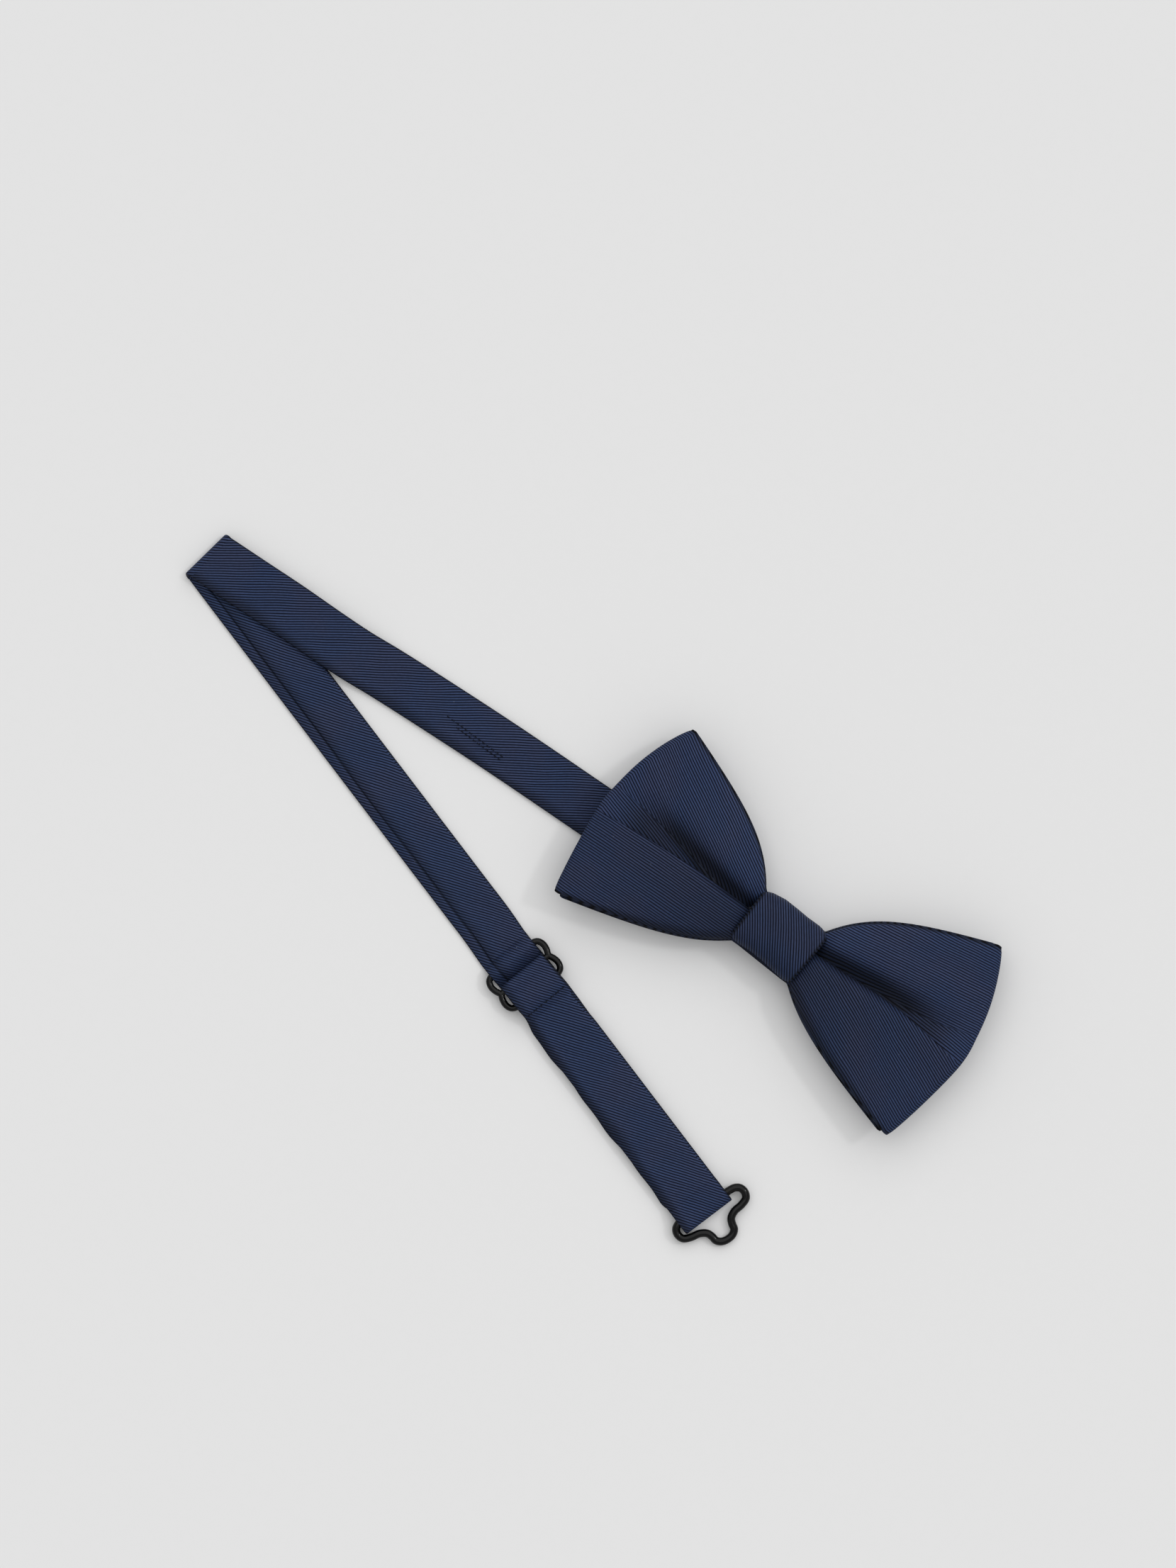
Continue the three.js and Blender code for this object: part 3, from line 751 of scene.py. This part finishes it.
def crown(t, s):
    """The puffed shape across a wing: round beside the knot, flatter and squarer near the tip."""
    power = 2.2 + 9 * s**1.5
    return np.sqrt(np.maximum(0, 1 - np.abs(t) ** power))


def slanted(x, y, angle, from_x, from_y):
    """Distance across straight ribs from a place they pass through."""
    turn = angle * DEGREE
    return (y - from_y) * math.cos(turn) - (x - from_x) * math.sin(turn)


def wing_rib(wing, x, y, band, wall):
    """The rib coordinate on a wing. Each lobe's ribs are straight and parallel. They meet at the
    tip, and nearer the knot the cloth between them is folded away in the pleats."""
    side, ribs = wing["side"], wing["ribs"]
    tip, valley, crease = WING_TIP * side, wing["valley"][-1], wing["crease"][-1]
    place_x = x * side
    upper_rib = slanted(place_x, y, ribs["upper"], tip, valley)
    band_rib = slanted(place_x, y, ribs["band"], tip, valley)
    offset = slanted(tip, crease, ribs["band"], tip, valley)
    lower_rib = slanted(place_x, y, ribs["lower"], tip, crease) + offset
    return np.where(band == 1, upper_rib, np.where(wall == 1, band_rib, lower_rib))


STATIONS = 60
FOLD_STEPS = 8


def steep_run(points):
    """What the rib coordinate gains down the steep side of each lobe and round its edge, where the
    cloth runs further than it seems to from the front."""
    step = np.abs(np.roll(points, -1, axis=1) - points)
    extra = np.maximum(0, step[..., 2] - step[..., 1])
    run = np.zeros(extra.shape)
    low = FACE_COUNT - LOWER_COUNT // 2
    end = FACE_COUNT + EDGE_POINTS
    run[:, low + 1 : end] = -np.cumsum(extra[:, low : end - 1], axis=1)
    top = UPPER_COUNT // 2
    towards_middle = np.roll(extra, EDGE_POINTS, axis=1)[:, : top + EDGE_POINTS]
    outward = np.cumsum(towards_middle[:, ::-1], axis=1)[:, ::-1]
    run[:, :top] = outward[:, EDGE_POINTS:]
    run[:, -EDGE_POINTS:] = outward[:, :EDGE_POINTS]
    return run


def bow_loop(name, bow):
    """A flattened loop of cloth: front layer, a fold at each wing's tip, and back layer."""
    shares = np.linspace(0, 1, STATIONS) ** 0.9
    turn = np.linspace(-90, 90, FOLD_STEPS + 2)[1:-1] * DEGREE
    columns, out, rise = ring_columns()
    half = bow["thick"] / 2
    rows, uvs, painted_shades = [], [], []

    def add(wing, share, angle):
        layer = "back" if angle <= -math.pi / 2 else "front"
        x, y, z, rib, painted_shade = wing_surface(wing, bow, share, columns, layer)
        reach, side = 0.0, wing["side"]
        if abs(angle) < 1.5:
            back = wing_surface(wing, bow, share, columns, "back")[2]
            gap = (z - back) / 2
            reach = math.cos(angle) * (gap + rise * half)
            z = (z + back) / 2 + math.sin(angle) * (gap + rise * half)
        else:
            z = z + (rise if layer == "front" else -rise) * half
        rows.append(np.stack([side * (x + reach), y + out * half, z], axis=-1))
        uvs.append(np.stack([rib, side * (x + reach)], axis=-1))
        painted_shades.append(painted_shade)

    for wing, order in ((RIGHT_WING, 1), (LEFT_WING, -1)):
        layers = [[(share, -math.pi / 2) for share in shares], [(1.0, angle) for angle in turn]]
        layers.append([(share, math.pi / 2) for share in shares[::-1]])
        steps = [step for layer in layers for step in layer]
        for share, angle in steps[::order]:
            add(wing, share, angle)
    # depth holds each point's painted shade.
    points, depth = np.array(rows), np.array(painted_shades)
    uv = np.array(uvs)
    uv[..., 0] += steep_run(points)
    uv = closed_columns(uv)
    uv = np.concatenate([uv, uv[:1]], axis=0)
    piece = grid_mesh(name, points, uv, [CLOTH], "bow", closed_rows=True, depth=depth)
    return piece


def bow_interlining(name, bow):
    """The stiff sheet between a loop's two layers, a little smaller than the loop."""
    (upper, band, wall, lower), out, rise = ring_columns()
    columns = (upper * 0.9, band, wall, lower * 0.9)
    half = 0.12
    shares = np.linspace(0, 0.95, 30)
    rows = []
    for wing in (LEFT_WING, RIGHT_WING):
        for share in shares[::-1] if wing is LEFT_WING else shares:
            x, y, front = wing_surface(wing, dict(bow, pleat=0), share, columns, "front")[:3]
            back = wing_surface(wing, bow, share, columns, "back")[2]
            deepest = back + 0.5 + half + 0.05
            z = np.minimum((front + back) / 2, deepest) + rise * half
            rows.append(np.stack([wing["side"] * x, y + out * half, z], axis=-1))
    piece = grid_mesh(name, np.array(rows), None, [INTERLINING], "bow")
    return piece


def make_bows():
    front = bow_loop("front_bow_cloth", FRONT_BOW)
    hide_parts("front_bow")
    rear = bow_loop("rear_bow_cloth", REAR_BOW)
    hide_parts("rear_bow")
    front_sheet = bow_interlining("front_bow_stiffener", FRONT_BOW)
    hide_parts("front_bow_interlining")
    rear_sheet = bow_interlining("rear_bow_stiffener", REAR_BOW)
    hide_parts("rear_bow_interlining")


# ---- Knot ----

KNOT_THICK = 1.1
PAD_MIDDLE_Z = 11.1
PAD_HALF_THICK = 0.8
KNOT_STATIONS = 96
KNOT_TILT = 35 * DEGREE

# The band's outline seen from the front: how far it reaches up and down along its width.
KNOT_X = [-11, -8, -4, 0, 4, 8, 11.3]
KNOT_TOP_Y = [8.6, 9.4, 9.9, 9.7, 9.4, 9.4, 8.9]
KNOT_BOTTOM_Y = [-8.2, -8.2, -8.0, -8.2, -8.7, -9.2, -9.4]
KNOT_LEFT_X = (-10.8, -10.2)
KNOT_RIGHT_X = (9.9, 11.2)


def knot_ribs(x, y, run):
    """Straight slanted ribs, drawn together a little beside the band's upper left corner."""
    gather = 0.9 * np.exp(-((x + 10) ** 2 + (y - 9) ** 2) / 30)
    return (x + gather) * math.cos(KNOT_TILT) + (y - gather) * math.sin(KNOT_TILT), run


def make_knot():
    across, out, up = section(40)
    turn = np.linspace(0, 2 * math.pi, KNOT_STATIONS, endpoint=False)
    rows, uvs = [], []
    middle_z = KNOT_FRONT_Z / 2
    for angle in turn:
        cos, sin = math.cos(angle), math.sin(angle)
        squareness = 2 / 3.0 if sin > 0 else 2 / 6.0
        cy, cz = np.sign(cos) * abs(cos) ** (2 / 3.2), np.sign(sin) * abs(sin) ** squareness
        share = (cy + 1) / 2
        left = KNOT_LEFT_X[0] * (1 - share) + KNOT_LEFT_X[1] * share
        right = KNOT_RIGHT_X[0] * (1 - share) + KNOT_RIGHT_X[1] * share
        x = (left + right) / 2 + across * (right - left) / 2
        top, bottom = np.interp(x, KNOT_X, KNOT_TOP_Y), np.interp(x, KNOT_X, KNOT_BOTTOM_Y)
        hug = 0.45 * np.abs(across) ** 8
        reach = (top - bottom) / 2 - KNOT_THICK / 2 - hug
        height = middle_z - KNOT_THICK / 2 - hug * max(0, sin)
        bulge = up * KNOT_THICK / 2
        normal = np.array([cy * height[0], cz * reach[0]])
        normal = normal / np.linalg.norm(normal)
        y = (top + bottom) / 2 + cy * reach + normal[0] * bulge
        z = middle_z + cz * height + normal[1] * bulge
        rows.append(np.stack([x + out * KNOT_THICK / 2, y, z], axis=-1))
        rib, run = knot_ribs(x, y if sin > 0 else 2 * np.sign(cy) * 14 - y, y)
        uvs.append(np.stack([rib, run], axis=-1))
    uv = closed_columns(np.array(uvs))
    uv = np.concatenate([uv, uv[:1]], axis=0)
    points = np.array(rows)
    # Painted shade: along the band's edges, over the whole knot, and more on its lower side, away from
    # the light.
    edge = PAINTED_EDGE_SHADE * smooth(np.abs(across), 0.93, 0.995)
    depth = np.maximum(edge, 0.28 + 0.16 * smooth(-points[..., 1], 0, 9))
    band = grid_mesh("knot_wrap", points, uv, [CLOTH], "bow", closed_rows=True, depth=depth)
    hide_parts("knot_band")


def make_padding():
    """The soft pad between the front bow and the knot band."""
    rows = []
    turn = np.linspace(0, 2 * math.pi, 40, endpoint=False)
    for along in np.linspace(-1, 1, 25)[1:-1]:
        share = (1 - along**6) ** 0.5
        y = 6.0 * share * np.sign(np.cos(turn)) * np.abs(np.cos(turn)) ** 0.8
        z = PAD_MIDDLE_Z + PAD_HALF_THICK * share * np.sin(turn)
        rows.append(np.stack([0 * y + 7.2 * along, y, z], axis=-1))
    pad = grid_mesh("knot_pad", np.array(rows), None, [PADDING], "bow")
    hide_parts("knot_padding")


# ---- Neck strap ----

TAIL_END = HOOK_PIVOT[0] - 3.6
UPPER_LINE = [
    (TAIL_END, 0, 0.7),
    (16, 0, 1.3),
    (6, 0, 2.0),
    (-14, 0, 2.0),
    (-30, -0.5, 1.2),
    (-62, -1.2, 0.9),
    (-94, -2.0, 0.8),
    (-118, -3.05, 0.8),
    (-133, -3.9, 1.0),
    (-143, -4.7, 2.1),
    (-152, -5.0, 2.5),
    (-166, -5.2, FOLD_TOP_Z),
    (-180, -5.7, FOLD_TOP_Z),
    (FOLD[0] + 1.9, FOLD[1], FOLD_TOP_Z),
]
CREASE_SLANT = -10 * DEGREE
SLANT_RUN = 14
FOLD_REACH = 2.25
FLATTENS_AT = 180


def slanted_sides(distance):
    """The direction across the upper leg, which turns to the crease's slant near the fold."""
    turn = CREASE_SLANT * clamp(1 - distance / SLANT_RUN)
    return np.column_stack([-np.sin(turn), np.cos(turn), 0 * turn])


def leg_place(along, across, z):
    """A place on the lower leg, from the fold: millimetres along it, across it and up."""
    return FOLD * [1, 1, 0] + LEG * along + LEG_SIDE * across + np.array([0, 0, z])


def edge_roll(y, rise, half_width=STRAP_WIDTH / 2, drop=0.42):
    """The top face falls away softly towards both edges."""
    return -drop * smooth(np.abs(y), half_width - 2.6, half_width) * np.maximum(rise, 0)


def seam_lift(along, y, rise):
    """Height of the lapped seam on the strap's top face: one side of it lies a layer higher."""
    edge = y - seam_place(along)
    step = SEAM_STEP * smooth(edge, -0.16, 0.16) * np.maximum(rise, 0)
    groove = -0.25 * np.exp(-((edge / 0.3 + 0.6) ** 2)) * np.maximum(rise, 0)
    return step + groove + edge_roll(y, rise)


def make_upper_strap():
    line = smooth_path(UPPER_LINE, 190)
    sides = slanted_sides(line[:, 0] - FOLD[0])

    def waves(along, y, rise):
        sway = 0.10 * np.sin(along / 13.0 + y / 6.0) + 0.08 * np.sin(along / 5.1 - y / 5.0)
        return sway * smooth(FLATTENS_AT - along, 0, 20) + edge_roll(y, rise)

    nodes = ("strap_upper_leg", "strap_upper_interlining")
    piece = riding_strip(
        "upper_strap_cloth", line, sides, STRAP_WIDTH, STRAP_THICK, "bow", nodes,
        UPPER_RIB_ANGLE, waves, (0.65, 0), UPPER_COLUMNS,
    )


def make_strap_fold():
    """The strap turns under itself at the crease."""
    middle = (FOLD_TOP_Z + LEG_MID_Z) / 2
    radius = (FOLD_TOP_Z - LEG_MID_Z) / 2
    turn = np.linspace(0, math.pi, 17)
    arc = np.column_stack([1.5 - 0.85 * radius * np.sin(turn), middle + radius * np.cos(turn)])
    profile = np.vstack([[FOLD_REACH, FOLD_TOP_Z], arc, [FOLD_REACH, LEG_MID_Z]])
    crease = np.array([-math.sin(CREASE_SLANT), math.cos(CREASE_SLANT), 0])
    away = np.array([math.cos(CREASE_SLANT), math.sin(CREASE_SLANT), 0])
    slip = np.linspace(0.33, -0.62, len(profile))[:, None]
    line = FOLD * [1, 1, 0] + profile[:, :1] * away + profile[:, 1:] * [0, 0, 1] + slip * crease
    line = smooth_path(line, 40)
    width = STRAP_WIDTH + 0.6 * np.sin(np.linspace(0, math.pi, 40))
    points, y = strip_points(line, crease, width, STRAP_THICK * 0.92, 24)
    start = line[0, 1] * math.cos(UPPER_RIB_ANGLE) - line[0, 0] * math.sin(UPPER_RIB_ANGLE)
    uv = rolled_ribs(line, y, CREASE_SLANT - UPPER_RIB_ANGLE, start)
    # Painted shade along the fold's edges and over a broad roll to its - side.
    depth = painted_strip_shade(line, y, 0.3, 0)
    piece = grid_mesh("strap_fold_cloth", points, uv, [CLOTH], None, depth=depth)
    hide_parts("strap_fold_bend")
    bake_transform(piece)


def leg_line(pairs, count):
    """A path on the lower leg from (along, height) pairs."""
    return smooth_path([leg_place(along, LEG_OFFSET, z) for along, z in pairs], count)


SLIDER_AT = float((SLIDER - FOLD * [1, 1, 0]) @ LEG)
PASS_HALF = 9.7
SLIDER_LEG = math.cos(SLIDER_TURN) * LEG + math.sin(SLIDER_TURN) * LEG_SIDE
SLIDER_SIDE = np.cross([0, 0, 1], SLIDER_LEG)


def slider_place(along, across, z):
    return SLIDER * [1, 1, 0] + SLIDER_LEG * along + SLIDER_SIDE * across + np.array([0, 0, z])


def slider_line(pairs, count):
    return smooth_path([slider_place(x, 0, z) for x, z in pairs], count)


UPPER_COLUMNS = 28
LEG_COLUMNS = 44


def leg_strip(name, line, sides, width, lift, nodes, shade_strengths):
    """A stretch of the lower leg, tied to no body.
    The last two settings are how strong the painted shade on its broad roll and its seam is."""
    points, y = strip_points(line, sides, width, STRAP_THICK, LEG_COLUMNS, lift)
    uv = flat_ribs(points, LOWER_RIB_ANGLE)
    back = LEG_COLUMNS + EDGE_POINTS // 2
    depth = painted_strip_shade(line, y, *shade_strengths)
    cloths = [CLOTH_LEG, CLOTH_LEG_BACK]
    piece = grid_mesh(name, points, uv, cloths, None, back_from=back, depth=depth)
    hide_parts(*nodes)
    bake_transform(piece)
    return piece


def turned_sides(turn):
    """The direction across the lower leg, turned by an angle at each point."""
    return np.cos(turn)[:, None] * LEG_SIDE - np.sin(turn)[:, None] * LEG


def make_lower_strap():
    end = SLIDER_AT - PASS_HALF
    points = [leg_place(along, LEG_OFFSET, LEG_MID_Z) for along in (1.96, end / 2, end - 16, end - 8)]
    line = smooth_path([*points, slider_place(-PASS_HALF, 0, LEG_MID_Z)], 120)
    distance = (line - FOLD * [1, 1, 0]) @ LEG
    turn = (CREASE_SLANT - math.atan2(LEG[1], LEG[0])) * clamp(1 - distance / SLANT_RUN)
    sides = turned_sides(turn + SLIDER_TURN * smooth(distance, end - 10, end))
    nodes = ("strap_lower_leg", "strap_lower_interlining")
    piece = leg_strip(
        "lower_strap_cloth", line, sides, STRAP_WIDTH, seam_lift, nodes,
        (0.3, 1.0),
    )


PASS_PROFILE = [(9.7, 0.7), (8.4, 1.1), (7.0, 3.3), (5.7, 4.05), (4.4, 3.3), (3.1, 1.6), (2.0, 0.6)]
HEM_PROFILE = [
    (12.0, 2.6), (10.4, 3.5), (8.2, 5.0), (5.7, 5.65), (3.0, 5.1), (1.2, 4.2), (0, 3.9), (-0.92, 3.52),
    (-1.3, 2.6), (-0.92, 1.68), (0, 1.3), (1.1, 1.8), (2.0, 3.0), (3.3, 4.2), (5.7, 4.9), (7.6, 4.3),
    (9.2, 3.0), (10.2, 2.3),
]


def riding_strip(
    name, line, sides, width, thick, body, nodes, angle, lift=None, shade_strengths=(0.3, 0), count=LEG_COLUMNS
):
    """A stretch of the strap that keeps its shape on one body."""
    points, y = strip_points(line, sides, width, thick, count, lift)
    # Painted shade along its edges, over a broad roll and by a seam, as strong as the last two settings
    # ask.
    depth = painted_strip_shade(line, y, *shade_strengths)
    piece = grid_mesh(name, points, flat_ribs(points, angle), [CLOTH], body, depth=depth)
    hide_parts(*nodes)
    return piece


def make_slider():
    far = [(-x, z) for x, z in PASS_PROFILE]
    line = slider_line(far + [(0, 0.45)] + PASS_PROFILE[::-1], 110)
    ease = np.abs(np.linspace(-1, 1, len(line))) ** 6
    thick = PINCHED_THICK + (STRAP_THICK - PINCHED_THICK) * ease
    run = riding_strip(
        "slider_pass_cloth", line, SLIDER_SIDE, STRAP_WIDTH, thick, "slider", ["slider_strap_pass"],
        LOWER_RIB_ANGLE, seam_lift, (0.3, 1.0),
    )
    hem_line = slider_line(HEM_PROFILE, 120)
    hem = riding_strip(
        "slider_hem_cloth", hem_line, SLIDER_SIDE, HEM_WIDTH, HEM_THICK, "slider", ["slider_hem"],
        LOWER_RIB_ANGLE, None, (0.6, 0),
    )
    row = [slider_place(9.6, y, 4.62) for y in (-6.9, 6.9)]
    stitches = stitch_row("hem_stitches", *row, (0.35, -0.1, 0.93), "slider")
    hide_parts("slider_hem_stitch")
    make_slider_frame()


SLIDER_OUTLINE = [(5.7, 0), (5.7, 4.5), (5.7, 7.0), (5.0, 8.8), (3.4, 9.5), (1.6, 9.3), (0, 8.7)]


def make_slider_frame():
    quarter = SLIDER_OUTLINE
    half = quarter + [(-x, y) for x, y in quarter[-2::-1]]
    loop = half + [(x, -y) for x, y in half[-2:0:-1]]
    line = np.array([slider_place(x, y, SLIDER[2]) for x, y in loop])
    bar = np.array([slider_place(0, y, SLIDER[2]) for y in np.linspace(-8.7, 8.7, 16)])
    ring = wire("slider_wire", smooth_path(line, 150, closed=True), SLIDER_WIRE, "slider")
    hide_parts("slider_frame")
    wire("slider_bar", bar, SLIDER_WIRE, "slider", closed=False)


RETURN_START = 160.4
RETURN_Z = 2.45
DOUBLED_END = 227.3


def make_doubled_strap():
    """The strap's two layers between the slider and the eye, with an uneven edge to the - side."""
    start = SLIDER_AT + PASS_HALF
    points = [leg_place(x, LEG_OFFSET, LEG_MID_Z) for x in (start + 10, start + 24, DOUBLED_END)]
    under_line = smooth_path([slider_place(PASS_HALF, 0, LEG_MID_Z), *points], 90)
    distance = lengths_along(under_line)
    sides = turned_sides(SLIDER_TURN * smooth(10 - distance, 0, 10))
    wave = 0.4 + 0.22 * np.sin(distance / 4.7) + 0.16 * np.sin(distance / 2.1 + 1.0)
    extra = wave * smooth(distance, 0, 6) * smooth(distance[-1] - distance, 0, 4)
    under_line = under_line - LEG_SIDE * extra[:, None] / 2
    widths = STRAP_WIDTH + 0.3 * smooth(distance, 0, 6) + extra

    def edges(along, y, rise):
        return 0.08 * np.sin(along / 6.0 + 1.0) + edge_roll(y, rise, DOUBLED_WIDTH / 2)

    under = leg_strip(
        "underlay_cloth", under_line, sides, widths, edges, ["strap_underlay"],
        (0.5, 0),
    )
    over_line = leg_line([(RETURN_START, 2.35), *((x, RETURN_Z) for x in (164, 190, DOUBLED_END))], 70)
    over_widths = DOUBLED_WIDTH - 1.1 * smooth(12 - lengths_along(over_line), 0, 11)
    over = leg_strip(
        "return_cloth", over_line, LEG_SIDE, over_widths, edges, ["strap_return"],
        (0.75, 0),
    )


END_FOLD_PROFILE = [
    (DOUBLED_END, 0.7), (229.3, 0.57), (231.7, 0.52), (233.6, 0.9), (234.5, 2.35), (233.6, 3.8),
    (231.7, 4.18), (229.3, 3.5), (DOUBLED_END, 2.6),
]


def make_eye_end():
    line = leg_line(END_FOLD_PROFILE, 70)
    ends = np.abs(np.linspace(-1, 1, len(line))) ** 4
    thick = END_FOLD_THICK + (STRAP_THICK - END_FOLD_THICK) * ends
    piece = riding_strip(
        "eye_end_cloth", line, LEG_SIDE, DOUBLED_WIDTH, thick, "eye_end", ["eye_end_fold"],
        LOWER_RIB_ANGLE, None, (0.7, 0),
    )


EYE_SIDE = [
    (0, 0), (0, 4.5), (0, 8.4), (0.15, 9.4), (1.0, 10.7), (2.7, 11.2), (4.4, 10.5), (5.3, 8.4),
    (5.75, 5.8), (6.9, 4.0), (8.4, 3.35), (10.0, 3.0), (11.1, 1.7), (11.4, 0),
]
EYE_DROOP = 5.8 * DEGREE


def make_eye():
    out = np.cross(EYE_BAR, [0, 0, 1])
    out = out * math.cos(EYE_DROOP) - np.array([0, 0, 1]) * math.sin(EYE_DROOP)
    loop = EYE_SIDE + [(x, -y) for x, y in EYE_SIDE[-2:0:-1]]
    line = np.array([EYE_PIVOT + out * x + EYE_BAR * y for x, y in loop])
    piece = wire("eye_wire", smooth_path(line, 200, closed=True), EYE_WIRE, "eye")
    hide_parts("collar_eye")


HOOK_SIDE = [
    (0, 0, 0), (0, 4.5, 0), (0, 8.2, 0), (0.2, 8.9, 0), (1.4, 9.5, 0.2), (2.9, 8.4, 0.7), (4.6, 5.2, 1.7),
    (6.2, 2.2, 2.5), (7.8, 1.3, 2.8), (10.0, 1.25, 2.85), (11.6, 1.25, 2.5), (12.6, 1.25, 0.95),
    (11.6, 1.25, -0.6), (10.0, 1.25, -0.95), (8.4, 1.1, -0.95), (7.8, 0, -0.95),
]


def make_tail():
    profile = [(-3.4, 0.7), (-1.6, 0.5), (0, 0.45), (1.15, 0.85), (1.6, 1.75), (1.15, 2.65), (0, 3.05),
               (-1.6, 2.95), (-3.3, 2.6), (-8, 2.5)]
    line = smooth_path([(HOOK_PIVOT[0] + x, 0, z) for x, z in profile], 70)
    fold = riding_strip(
        "tail_fold_cloth", line, np.array([0, 1, 0]), STRAP_WIDTH, HEM_THICK, "bow", ["tail_end_fold"],
        UPPER_RIB_ANGLE,
    )
    x = HOOK_PIVOT[0] - 6.2
    stitches = stitch_row("tail_stitches", (x, -6.8, 2.85), (x, 6.8, 2.85), (0, 0, 1), "bow")
    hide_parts("tail_stitch")
    loop = HOOK_SIDE + [(x, -y, z) for x, y, z in HOOK_SIDE[-2:0:-1]]
    hook_line = HOOK_PIVOT + np.array(loop)
    hook = wire("hook_wire", smooth_path(hook_line, 240, closed=True), HOOK_WIRE, "hook")
    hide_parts("collar_hook")


TACK_ROWS = [((-112, -3.6, 1.6), (-92, -3.9, 1.6)), ((-108, -4.7, 1.6), (-92, -5.0, 1.6))]
TACK_PITCH = 1.5


def make_stitches():
    """Loose tacking stitches in two short rows on the upper leg."""
    for i, (a, b) in enumerate(TACK_ROWS):
        row = stitch_row(f"tack_stitches_{i}", a, b, (0, 0, 1), "bow", pitch=TACK_PITCH)
        if i == 0:
            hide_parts("strap_tack_stitch")


# ---- Room ----

FLOOR_HALF = 3.0
FLOOR_TONES = (0.795, 0.795, 0.795, 1), (0.805, 0.805, 0.805, 1)
VIEW_CENTRE = (-68.3, 3.9)
VIEW_HEIGHT = 442.4
VIEW_ROLL = 35.6 * DEGREE
CAMERA_HEIGHT = 2200.0
SENSOR = 24.0
SKY = 0.56
KEY = 1.18
KEY_FROM = (-0.28, 0.85, 1.6)
KEY_WIDTH = 80 * DEGREE
WINDOW = 0.30
WINDOW_FROM = (0.55, 0.75, 1.0)
WINDOW_WIDTH = 7 * DEGREE


def make_floor():
    mesh = bpy.data.meshes.new("floor")
    corners = [(FLOOR_HALF * x, FLOOR_HALF * y, 0) for x, y in ((-1, -1), (1, -1), (1, 1), (-1, 1))]
    mesh.from_pydata(corners, [], [(0, 1, 2, 3)])
    material, tree, shader = new_material("pale_floor")
    where = node(tree, "TexCoord").outputs["Object"]
    colour = mix_colour(tree, noise(tree, where, 300.0, 3.0), *FLOOR_TONES)
    feed(tree, shader, {"Base Color": colour, "Roughness": 0.9, "Specular IOR Level": 0.0})
    mesh.materials.append(material)
    floor = bpy.data.objects.new("floor", mesh)
    bpy.context.scene.collection.objects.link(floor)


def add_sun(name, strength, width, source):
    sun = bpy.data.lights.new(name, "SUN")
    sun.energy = strength
    sun.angle = width
    lamp = bpy.data.objects.new(name, sun)
    bpy.context.scene.collection.objects.link(lamp)
    x, y, z = source
    lamp.rotation_euler = (math.atan2(math.hypot(x, y), z), 0, math.atan2(x, -y))


def make_light():
    world = bpy.data.worlds.new("studio")
    world.use_nodes = True
    background = world.node_tree.nodes["Background"]
    background.inputs["Color"].default_value = (1, 1, 1, 1)
    background.inputs["Strength"].default_value = SKY
    bpy.context.scene.world = world
    add_sun("soft_key", KEY, KEY_WIDTH, KEY_FROM)
    add_sun("window", WINDOW, WINDOW_WIDTH, WINDOW_FROM)


def make_camera():
    camera = bpy.data.cameras.new("camera")
    camera.sensor_fit = "VERTICAL"
    camera.sensor_height = SENSOR
    camera.lens = SENSOR * CAMERA_HEIGHT / VIEW_HEIGHT
    camera.clip_end = 20
    holder = bpy.data.objects.new("camera", camera)
    bpy.context.scene.collection.objects.link(holder)
    holder.location = (VIEW_CENTRE[0] * MM, VIEW_CENTRE[1] * MM, CAMERA_HEIGHT * MM)
    holder.rotation_euler = (0, 0, VIEW_ROLL)
    bpy.context.scene.camera = holder


def cover_cad_nodes():
    """A finish for the CAD node that stays: the stitches that close the knot's back."""
    mesh = frame["nodes"]["knot_back_stitch"].data
    mesh.materials.clear()
    mesh.materials.append(THREAD_CLOTH)


make_bows()
make_knot()
make_padding()
make_upper_strap()
make_strap_fold()
make_lower_strap()
make_slider()
make_doubled_strap()
make_eye_end()
make_eye()
make_tail()
make_stitches()
cover_cad_nodes()
make_floor()
make_light()
make_camera()
bpy.context.scene.view_settings.view_transform = "Standard"
